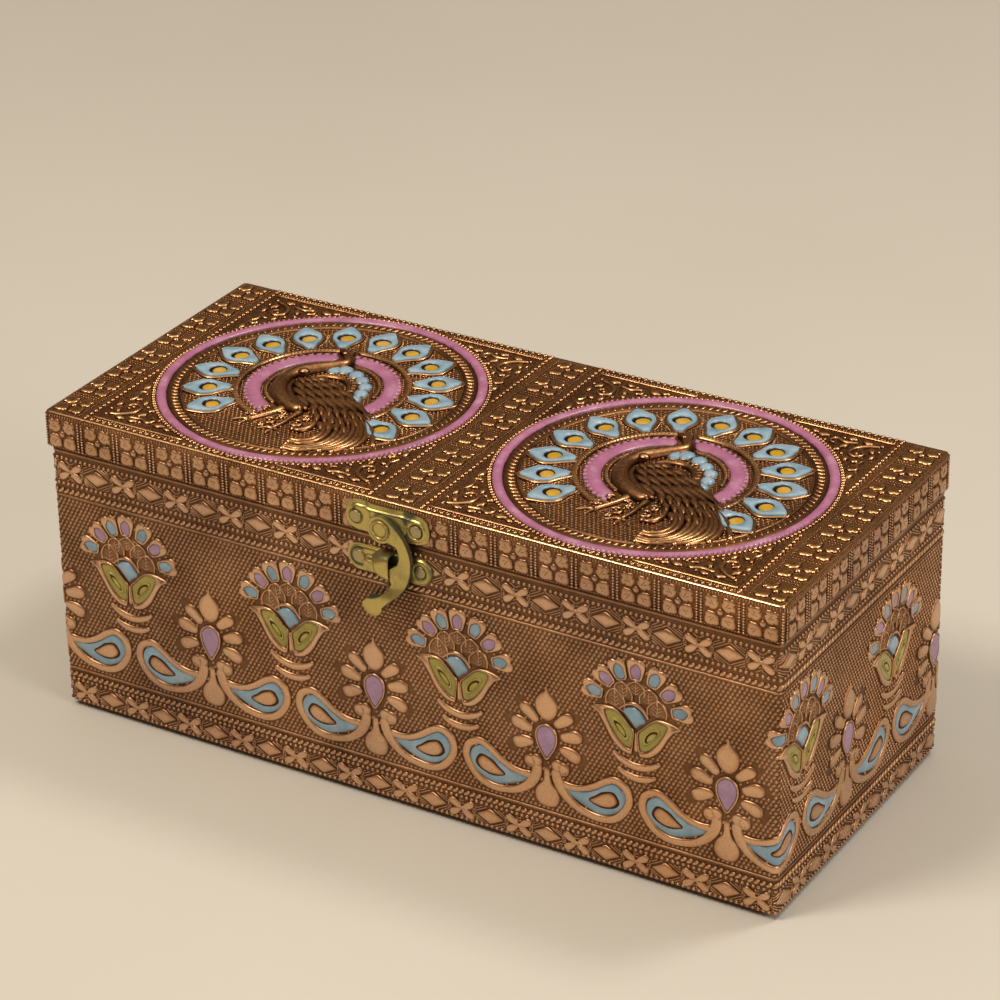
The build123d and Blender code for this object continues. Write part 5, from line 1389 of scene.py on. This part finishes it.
def hook_shape(p, reach):
    """Height and darkening: flat sheet with a fine groove round the pivot and a tail that bends outward. The
    outer edge carries painted dark reflection.
    """
    x, z = p[:, 0] - PIVOT[0], p[:, 1] - PIVOT[1]
    outer = smooth(x - 1.2 + 0.12 * np.abs(z + 9.0), 2.2, 4.8)
    rise = HOOK_THICK - 0.08 * np.clip(1 - reach / 0.08, 0, 1)
    centre = np.hypot(x, z)
    rise = rise - 0.14 * ridge(centre, 3.25, 0.2)
    tab = smooth(-z, 23.5, 26.5)
    rise = rise - 0.35 * tab * smooth(1.2 - reach, 0, 1.2) + TAIL_THICKER * smooth(-z, 16.8, 22.5)
    # Patina in the groove round the pivot. Painted dark reflection near the outer edge and along the front
    # border where the side walls begin.
    stain_and_shade = 0.6 * ridge(centre, 3.25, 0.25) + 0.3 * outer * smooth(0.5 - reach, 0, 0.5) + 0.9 * (reach < 0.02)
    return rise, np.clip(stain_and_shade, 0, 1)


# Materials
def fill_ramp(ramp, stops):
    """Sets the places and colours of a colour ramp."""
    while len(ramp.elements) < len(stops):
        ramp.elements.new(0.5)
    for element, (at, colour) in zip(ramp.elements, stops):
        element.position = at
        element.color = (*colour, 1)


class Nodes:
    """A short way to build a node material."""

    def __init__(self, name):
        self.material = bpy.data.materials.new(name)
        self.material.use_nodes = True
        self.tree = self.material.node_tree
        self.shader = self.tree.nodes["Principled BSDF"]

    def add(self, kind, inputs=None, **settings):
        node = self.tree.nodes.new(kind)
        for key, value in settings.items():
            setattr(node, key, value)
        for key, value in (inputs or {}).items():
            if isinstance(value, bpy.types.NodeSocket):
                self.tree.links.new(value, node.inputs[key])
            else:
                node.inputs[key].default_value = value
        return node

    def set(self, **values):
        for key, value in values.items():
            socket = self.shader.inputs[key.replace("_", " ")]
            if isinstance(value, bpy.types.NodeSocket):
                self.tree.links.new(value, socket)
            else:
                socket.default_value = value

    def place(self):
        return self.add("ShaderNodeTexCoord").outputs["Object"]

    def relief(self):
        return self.add("ShaderNodeAttribute", attribute_name="relief").outputs["Fac"]

    def noise(self, scale, detail=4.0, roughness=0.55):
        return self.add("ShaderNodeTexNoise", {"Vector": self.place(), "Scale": scale, "Detail": detail,
                                               "Roughness": roughness}).outputs["Fac"]

    def ramp(self, factor, stops):
        node = self.add("ShaderNodeValToRGB", {"Fac": factor})
        fill_ramp(node.color_ramp, stops)
        return node.outputs["Color"]

    def spread(self, factor, low, high, from_low=0.0, from_high=1.0):
        return self.add("ShaderNodeMapRange", {"Value": factor, "From Min": from_low,
                                               "From Max": from_high, "To Min": low,
                                               "To Max": high}).outputs["Result"]

    def math(self, operation, a, b=0.0, clamp=False):
        return self.add("ShaderNodeMath", {0: a, 1: b}, operation=operation, use_clamp=clamp).outputs[0]

    def mix(self, factor, a, b, blend="MIX"):
        node = self.add("ShaderNodeMix", data_type="RGBA", blend_type=blend)
        for index, value in ((0, factor), (6, a), (7, b)):
            if isinstance(value, bpy.types.NodeSocket):
                self.tree.links.new(value, node.inputs[index])
            elif index:
                node.inputs[index].default_value = (*value, 1)
            else:
                node.inputs[index].default_value = value
        return node.outputs[2]

    def bump(self, height, strength, distance=0.0001, normal=None):
        inputs = {"Height": height, "Strength": strength, "Distance": distance}
        if normal is not None:
            inputs["Normal"] = normal
        return self.add("ShaderNodeBump", inputs).outputs["Normal"]


def copper_material(name, dark, middle, bright, rough=0.26, stops=(0.0, 0.32, 0.62, 0.95)):
    """Pressed copper sheet: dark patina left in the hollows, worn bright on the high places."""
    m = Nodes(name)
    relief = m.relief()
    wear = m.noise(60.0, 5.0, 0.62)
    fine = m.noise(950.0, 3.0, 0.6)
    level = m.math("ADD", relief, m.spread(wear, -0.16, 0.12, 0.25, 0.75))
    level = m.math("ADD", level, m.spread(fine, -0.08, 0.06, 0.3, 0.7), clamp=True)
    half = tuple(d * 0.6 + x * 0.4 for d, x in zip(dark, middle))
    colour = m.ramp(level, list(zip(stops, (dark, half, middle, bright))))
    blotch = m.ramp(m.noise(16.0, 4.0, 0.6), [(0.3, (0.72, 0.70, 0.76)), (0.5, (1.0, 1.0, 1.0)),
                                             (0.75, (1.0, 0.90, 0.78))])
    colour = m.mix(1.0, colour, blotch, "MULTIPLY")
    dents = m.noise(130.0, 3.0, 0.5)
    m.set(Base_Color=colour, Metallic=1.0,
          Roughness=m.math("ADD", m.spread(fine, rough - 0.06, rough + 0.08, 0.3, 0.7),
                           m.spread(level, 0.26, 0.0)),
          Normal=m.bump(fine, 0.25, 0.00004, m.bump(dents, 0.55, 0.00035)))
    return m.material


def enamel_material(name, colour, deep):
    """Hand-laid paint in the pressed hollows, a little uneven, with the sheet showing at thin places."""
    m = Nodes(name)
    relief = m.relief()
    cloud = m.noise(180.0, 4.0, 0.6)
    brush = m.noise(700.0, 3.0, 0.55)
    pale = tuple(c * 0.8 + 0.14 for c in colour)
    paint = m.ramp(m.math("ADD", m.spread(cloud, -0.22, 0.3, 0.3, 0.7), m.spread(relief, 0.05, 0.72)),
                   [(0.0, deep), (0.4, tuple(a * 0.35 + b * 0.65 for a, b in zip(deep, colour))),
                    (0.72, colour), (1.0, pale)])
    thin = m.math("ADD", m.noise(430.0, 5.0, 0.7), m.spread(relief, -0.36, 0.10, 0.1, 0.7))
    cover = m.spread(thin, 0.0, 1.0, 0.25, 0.33)
    paint = m.mix(cover, (0.17, 0.08, 0.04), paint)
    ribs = m.add("ShaderNodeTexWave", {"Vector": m.place(), "Scale": 640.0, "Distortion": 1.5},
                 wave_type="BANDS", bands_direction="DIAGONAL").outputs["Fac"]
    m.set(Base_Color=paint, Metallic=m.spread(cover, 0.9, 0.0),
          Roughness=m.spread(brush, 0.26, 0.46, 0.3, 0.7),
          Normal=m.bump(brush, 0.35, 0.00006, m.bump(ribs, 0.25, 0.00006, m.bump(cloud, 0.4, 0.0003))))
    m.set(Coat_Weight=0.3, Coat_Roughness=0.2)
    return m.material


def metal_material(name, clean, stained_and_shaded, rough=0.3, patina=0.5):
    """Brass or steel sheet with a dull film, small scratches, green-brown patina in the grooves and painted
    shade where a piece marks it.
    """
    m = Nodes(name)
    stain_and_shade = m.relief()
    cloud = m.noise(140.0, 5.0, 0.65)
    speck = m.noise(900.0, 4.0, 0.7)
    film = m.math("ADD", m.spread(cloud, -0.1, patina, 0.42, 0.72),
                  m.math("ADD", stain_and_shade, m.spread(speck, 0.0, 0.35, 0.6, 0.75)), clamp=True)
    shade = tuple(a * 0.62 + b * 0.38 for a, b in zip(clean, stained_and_shaded))
    colour = m.ramp(film, [(0.0, clean), (0.45, shade), (1.0, stained_and_shaded)])
    scratch = m.add("ShaderNodeTexWave", {"Vector": m.place(), "Scale": 420.0, "Distortion": 6.0,
                                          "Detail": 2.0}, bands_direction="Z").outputs["Fac"]
    m.set(Base_Color=colour, Metallic=m.spread(film, 1.0, 0.72),
          Roughness=m.math("ADD", m.spread(speck, rough - 0.05, rough + 0.1, 0.3, 0.7),
                           m.spread(film, 0.0, 0.25)),
          Normal=m.bump(scratch, 0.08, 0.00002, m.bump(speck, 0.2, 0.00003, m.bump(cloud, 0.3, 0.0002))))
    return m.material


def board_material():
    """Raw fibre board."""
    m = Nodes("fibre_board")
    fibre = m.noise(300.0, 6.0, 0.7)
    grain = m.noise(900.0, 3.0, 0.6)
    m.set(Base_Color=m.ramp(fibre, [(0.3, (0.20, 0.125, 0.065)), (0.7, (0.34, 0.225, 0.125))]),
          Roughness=m.spread(grain, 0.75, 0.95), Normal=m.bump(grain, 0.4, 0.0002))
    return m.material


def cloth_material(name, dark, bright, pile):
    """Short pile or felt: fine fibres, brushed patches and a soft sheen."""
    m = Nodes(name)
    fibres = m.noise(pile, 4.0, 0.75)
    brushed = m.noise(38.0, 3.0, 0.5)
    m.set(Base_Color=m.ramp(m.math("ADD", m.spread(fibres, 0.0, 0.5, 0.25, 0.75),
                                   m.spread(brushed, 0.0, 0.5, 0.3, 0.7)),
                            [(0.15, dark), (0.85, bright)]),
          Roughness=m.spread(fibres, 0.8, 1.0), Normal=m.bump(fibres, 0.55, 0.0003))
    m.set(Sheen_Weight=0.3, Sheen_Roughness=0.4)
    return m.material


def rubber_material():
    """Clear bumper rubber, a little cloudy."""
    m = Nodes("clear_bumper")
    haze = m.noise(220.0, 3.0, 0.5)
    m.set(Base_Color=m.ramp(haze, [(0.3, (0.70, 0.69, 0.65)), (0.7, (0.86, 0.85, 0.80))]),
          Roughness=m.spread(haze, 0.18, 0.34), Normal=m.bump(haze, 0.15, 0.0002))
    m.set(Transmission_Weight=0.75, IOR=1.45)
    return m.material


def loose_box(name, rings, body, replaced, material):
    """A thin lining that covers a hollow: rings of (x low, x high, y low, y high, corner, height)."""
    corner_steps, side_steps = 7, 14
    net = []
    for x0, x1, y0, y1, corner, height in rings:
        ring = []
        for cx, cy, first in ((x1 - corner, y0 + corner, -90), (x1 - corner, y1 - corner, 0),
                              (x0 + corner, y1 - corner, 90), (x0 + corner, y0 + corner, 180)):
            for angle in np.linspace(first, first + 90, corner_steps):
                across, up = polar(corner, angle)
                ring.append((cx + across, cy + up))
        ring = np.array(ring)
        full = []
        for k in range(len(ring)):
            full.append(ring[k])
            if k % corner_steps == corner_steps - 1:
                ahead = ring[(k + 1) % len(ring)]
                full += [ring[k] + (ahead - ring[k]) * t for t in np.linspace(0, 1, side_steps + 1)[1:-1]]
        net.append(np.column_stack([full, np.full(len(full), height)]))
    net = np.stack(net)
    n, k = net.shape[:2]
    index = np.arange(n * k).reshape(n, k)
    groups = plain(net_quads(n, k, closed_across=True)[:, OTHER_WAY], index[0][::-1], index[-1])
    piece = make_mesh(name, net.reshape(-1, 3), np.zeros(n * k), groups, [material])
    bm = bmesh.new()
    bm.from_mesh(piece.data)
    bmesh.ops.recalc_face_normals(bm, faces=bm.faces)
    bm.to_mesh(piece.data)
    bm.free()
    return settle(piece, body, replaced, sharp=40)


body_copper = copper_material("worn_copper", (0.080, 0.034, 0.014), (0.425, 0.226, 0.114),
                              (0.68, 0.42, 0.25))
# The lid's copper is a darker copy of the body's. Its dark and middle tones are painted shade and painted
# reflection of a dark room, and its more golden bright tone is a painted highlight.
top_copper_painted_reflection = copper_material("worn_copper_top_painted_reflection", (0.032, 0.011, 0.004), (0.34, 0.156, 0.064),
                             (0.76, 0.44, 0.20), rough=0.17, stops=(0.13, 0.33, 0.56, 0.86))
paints = [enamel_material("enamel_blue", (0.205, 0.32, 0.395), (0.05, 0.10, 0.15)),
          enamel_material("enamel_lilac", (0.36, 0.21, 0.33), (0.13, 0.07, 0.11)),
          enamel_material("enamel_olive", (0.33, 0.265, 0.03), (0.10, 0.075, 0.012)),
          enamel_material("enamel_pink", (0.37, 0.13, 0.225), (0.15, 0.045, 0.08)),
          enamel_material("enamel_gold", (0.50, 0.28, 0.012), (0.17, 0.08, 0.008))]

# The sheet and its pattern on the body, the rim and the top
sheet_edge("body_sheet", BODY_X, BODY_FRONT, BODY_BACK,
                        [(-3.5, BODY_LOW, 0.4), (-0.5, BODY_LOW, 0.5), (-0.13, BODY_LOW + 0.12, 0.7),
                         (0, BODY_LOW + 0.5, 0.3), (0, BODY_TOP - 0.45, 0.3),
                         (-0.13, BODY_TOP - 0.12, 0.8), (-0.45, BODY_TOP, 0.85), (-3.5, BODY_TOP, 0.6),
                         (-3.5, BODY_TOP - 0.4, 0.4)],
                        "box", ["body_foil"], body_copper)
body_relief = body_pattern()
wall_lines(body_relief, BODY_WALL, [(72.9, 0.8, 0.35, 0.7), (12.0, 0.8, 0.35, 0.7),
                                    (88.0, 1.3, 0.25, 0.6)])
pieces_by_side("body_relief", body_relief, BODY_WALL, [body_copper, *paints], "box",
               flats=under_fittings(BODY_WALL, (-17.0, 12.0, 76.3, 84.9), (79.75, 89.1)), halves=True)

sheet_edge("rim_sheet", LID_X, -LID_Y, LID_Y,
                       [(-3.5, LID_LOW, 0.4), (-0.45, LID_LOW, 0.6), (-0.13, LID_LOW + 0.12, 0.8),
                        (0, LID_LOW + 0.45, 0.3), (0, LID_TOP - 0.6, 0.5),
                        (-0.17, LID_TOP - 0.17, 0.95), (-0.6, LID_TOP, 0.8)],
                       "lid", ["lid_rim_foil", "lid_top_foil"], top_copper_painted_reflection, cap_top=True)
rim_relief = rim_pattern()
pieces_by_side("rim_relief", rim_relief, RIM_WALL, [body_copper, *paints], "lid",
               flats=under_fittings(RIM_WALL, (-16.4, 12.0, 0.4, 9.4), (-0.2, 9.35)))

top_points, top_shade, top_groups = lid_top_pattern().arrays()
top_points = top_points + (0, 0, LID_TOP)
MIDDLE_HALF = 13.0
for label, chosen in (("left", lambda u: u < -MIDDLE_HALF), ("middle", lambda u: abs(u) <= MIDDLE_HALF),
                      ("right", lambda u: u > MIDDLE_HALF)):
    part = [(f[chosen(top_points[f[:, 0], 0])], p[chosen(top_points[f[:, 0], 0])])
            for f, p in top_groups]
    piece_of(f"top_relief_{label}", top_points, top_shade, part, [top_copper_painted_reflection, *paints], "lid")

# Latch and catch
latch_brass = metal_material("latch_brass_aged", (0.52, 0.405, 0.13), (0.085, 0.085, 0.045))
nail_brass = metal_material("nail_brass_grey", (0.42, 0.335, 0.165), (0.16, 0.15, 0.09), rough=0.34)
hinge_brass = metal_material("hinge_brass_aged", (0.58, 0.44, 0.17), (0.16, 0.12, 0.05))
pin_steel = metal_material("pin_steel_plain", (0.52, 0.50, 0.47), (0.17, 0.15, 0.12), patina=0.3)
plate_outline = slot_outline(27.6, 8.2, (-2.6, 96.2))
plate_upper = smooth(plate_outline[:, 1], 96.5, 99.0)
plate_outline[:, 1] += plate_upper * (1.6 - 0.55 * smooth(plate_outline[:, 0], -9.2, -8.0)
                                      + 0.3 * ridge(plate_outline[:, 0], 2.6, 2.0))
plate_outline[:, 0] += 0.7 * smooth(plate_outline[:, 0], 6.0, 10.0)
shell("latch_plate_pressed", plate_outline, latch_plate_shape, LID_FACE, "lid",
      ["latch_plate"], latch_brass)
shell("latch_hook_cut", hook_outline(), hook_shape, HOOK_BACK, "hook",
      ["latch_hook"], latch_brass)
shell("catch_plate_pressed", slot_outline(29.0, 8.6, (-2.5, 82.6)), catch_plate_shape, BODY_FACE, "box",
      ["catch_plate"], latch_brass)
catch_loop(latch_brass)
# Profile rows are radius, distance out and darkening. The cup's inner wall and its foot on the hook carry
# painted shade.
lathe("latch_rivet_cup", [(1.95, -3.0, 0.5), (1.95, -0.02, 0.5), (2.75, 0.0, 0.6), (2.98, 0.16, 0.2),
                          (3.0, 0.3, 0.0), (2.88, 0.44, 0.0), (2.68, 0.47, 0.0), (2.5, 0.4, 0.1),
                          (2.4, 0.1, 0.6), (2.34, -0.5, 0.8), (2.1, -1.05, 0.5), (1.6, -1.45, 0.25),
                          (1.0, -1.65, 0.1), (0.35, -1.7, 0.1)],
      (PIVOT[0], HOOK_BACK - HOOK_THICK - 0.05, PIVOT[1]), "lid", ["latch_rivet"], latch_brass)

# Linings and the cover below
velvet = cloth_material("velvet_maroon", (0.05, 0.004, 0.008), (0.17, 0.014, 0.026), 2600.0)
felt = cloth_material("felt_brown", (0.030, 0.017, 0.012), (0.075, 0.045, 0.030), 1500.0)


def lining_rings(hollow, lip, floor, top, up):
    """From the middle of the hidden side, over the lip, to the middle of the side that shows."""
    x0, x1, y0, y1 = hollow

    def ring(reach, height, corner):
        return (x0 + reach, x1 - reach, y0 + reach, y1 - reach, corner, floor + up * height)

    tall = abs(top - floor)
    return [ring(40, 0.03, 2), ring(3, 0.03, 0.5), ring(0.05, 0.05, 0.3), ring(0.05, tall - 0.45, 0.3),
            (lip[0] + 0.02, lip[1] - 0.02, lip[2] + 0.02, lip[3] - 0.02, 0.4, floor + up * (tall - 0.45)),
            (lip[0] + 0.02, lip[1] - 0.02, lip[2] + 0.02, lip[3] - 0.02, 0.4, floor + up * (tall - 0.12)),
            (lip[0] + 0.2, lip[1] - 0.2, lip[2] + 0.2, lip[3] - 0.2, 0.5, floor + up * (tall - 0.03)),
            ring(-0.5, tall - 0.03, 0.6), ring(0.2, tall - 0.2, 1.0), ring(0.6, tall - 0.8, 1.4),
            ring(0.72, tall - 3, 1.6), ring(0.78, tall / 2, 1.8), ring(0.78, 4.0, 1.8),
            ring(0.95, 2.0, 2.0), ring(1.5, 1.15, 2.4), ring(2.6, 0.82, 3.0), ring(9, 0.78, 5.0),
            ring(24, 0.8, 9.0), ring(40, 0.8, 4.0)]


# The hollows of the box: front and back of the hollow and of its lip, floor, and the cut's own height
HOLLOW_Y, LIP_Y, HOLLOW_FLOOR, CUT_TALL = (-46.25, 47.25), (-49.25, 50.25), 6.5, 84.1
# How far the velvet turns over the outer walls and over half of the partition
lining_places = (("left", -117.5, -2.0, -120.5, 0.0), ("right", 2.0, 117.5, 0.0, 120.5))
for label, x0, x1, lip0, lip1 in lining_places:
    rings = lining_rings((x0, x1, *HOLLOW_Y), (lip0, lip1, *LIP_Y), HOLLOW_FLOOR, BODY_TOP, 1)
    cloth = loose_box(f"{label}_velvet", rings, "box", [f"{label}_lining"], velvet)
LID_HOLLOW, LID_LIP, LID_CEILING = (-118.5, 118.5, -47.25, 47.25), (-121.5, 121.5, -50.25, 50.25), 98.7
cloth = loose_box("lid_velvet", lining_rings(LID_HOLLOW, LID_LIP, LID_CEILING, LID_LOW, -1),
                  "lid", ["lid_lining"], velvet)

COVER_X, COVER_FRONT, COVER_BACK = 120.45, -49.2, 50.2
cover_rings = [(-COVER_X + i, COVER_X - i, COVER_FRONT + i, COVER_BACK - i, corner, height)
               for i, corner, height in ((45, 3, 2.49), (5, 2, 2.49), (0.1, 1.0, 2.48), (0, 1.0, 2.3),
                                         (0.1, 1.0, 2.08), (0.5, 1.2, 2.02), (5, 2, 2.03), (20, 3, 2.03),
                                         (45, 3, 2.03))]
cover = loose_box("base_felt_cover", cover_rings, "box", ["base_cover"], felt)

# Finishes of the CAD nodes that stay
board, bumper = board_material(), rubber_material()
node_finish = {"board": board, "clear_rubber": bumper, "nail_brass": nail_brass,
               "hinge_brass": hinge_brass, "pin_steel": pin_steel}
for row in frame["record"]["subparts"]:
    finish = node_finish.get(row["material_slot"])
    node = bpy.data.objects.get(row["node"])
    if finish and node and node.type == "MESH":
        for place in node.material_slots:
            place.material = finish


# Stage: floor, lights and camera
floor_mesh = bpy.data.meshes.new("floor")
FLOOR_HALF = 4
floor_corners = [(x * FLOOR_HALF, y * FLOOR_HALF, 0) for x, y in ((-1, -1), (1, -1), (1, 1), (-1, 1))]
floor_mesh.from_pydata(floor_corners, [], [(0, 1, 2, 3)])
floor = in_scene("floor", floor_mesh)
floor_finish = Nodes("floor_cloth")
floor_finish.set(Base_Color=floor_finish.ramp(floor_finish.noise(3.0), [(0.3, (0.52, 0.48, 0.405)),
                                                                       (0.7, (0.555, 0.515, 0.44))]),
                 Roughness=0.6)
floor_mesh.materials.append(floor_finish.material)

world = bpy.data.worlds.new("studio")
bpy.context.scene.world = world
world.use_nodes = True
tree = world.node_tree
background = tree.nodes["Background"]
coord = tree.nodes.new("ShaderNodeTexCoord")
split = tree.nodes.new("ShaderNodeSeparateXYZ")
sky = tree.nodes.new("ShaderNodeValToRGB")
tree.links.new(coord.outputs["Generated"], split.inputs[0])
tree.links.new(split.outputs["Z"], sky.inputs["Fac"])
# Brown like the wall of the photo near the horizon, and bright like a soft lamp overhead
fill_ramp(sky.color_ramp, [(0.0, (0.22, 0.15, 0.095)), (0.5, (0.135, 0.088, 0.052)),
                           (0.68, (0.30, 0.25, 0.19)), (0.86, (1.15, 1.04, 0.90))])
tree.links.new(sky.outputs["Color"], background.inputs["Color"])
background.inputs["Strength"].default_value = 0.9


def area_light(name, place, target, size, power, colour):
    """A round soft lamp that looks from its place to a target."""
    data = bpy.data.lights.new(name, "AREA")
    data.shape, data.size, data.energy, data.color = "DISK", size, power, colour
    lamp = in_scene(name, data)
    lamp.location = place
    lamp.rotation_euler = (Vector(target) - Vector(place)).to_track_quat("-Z", "Y").to_euler()


area_light("key", (-0.45, -0.75, 1.35), (0, 0, 0.05), 0.45, 14.0, (1.0, 0.93, 0.84))
area_light("fill", (1.5, -0.35, 0.8), (0, 0, 0.05), 0.6, 10.0, (1.0, 0.95, 0.90))
area_light("back", (0.5, 0.5, 1.35), (0.1, 0.1, 0.06), 0.3, 6.5, (0.98, 0.96, 0.95))

camera_data = bpy.data.cameras.new("camera")
camera = in_scene("camera", camera_data)
# Solved from the box's corners and the medallions' circles in the photo
CAMERA_PLACE, CAMERA_TURN, CAMERA_LENS = (0.52007, -0.85380, 0.60181), (62.4245, 0.8351, 30.7723), 135.137
camera.location = CAMERA_PLACE
camera.rotation_euler = Euler([math.radians(angle) for angle in CAMERA_TURN])
camera_data.lens, camera_data.sensor_width = CAMERA_LENS, 36.0
bpy.context.scene.camera = camera
bpy.context.scene.view_settings.view_transform = "Standard"
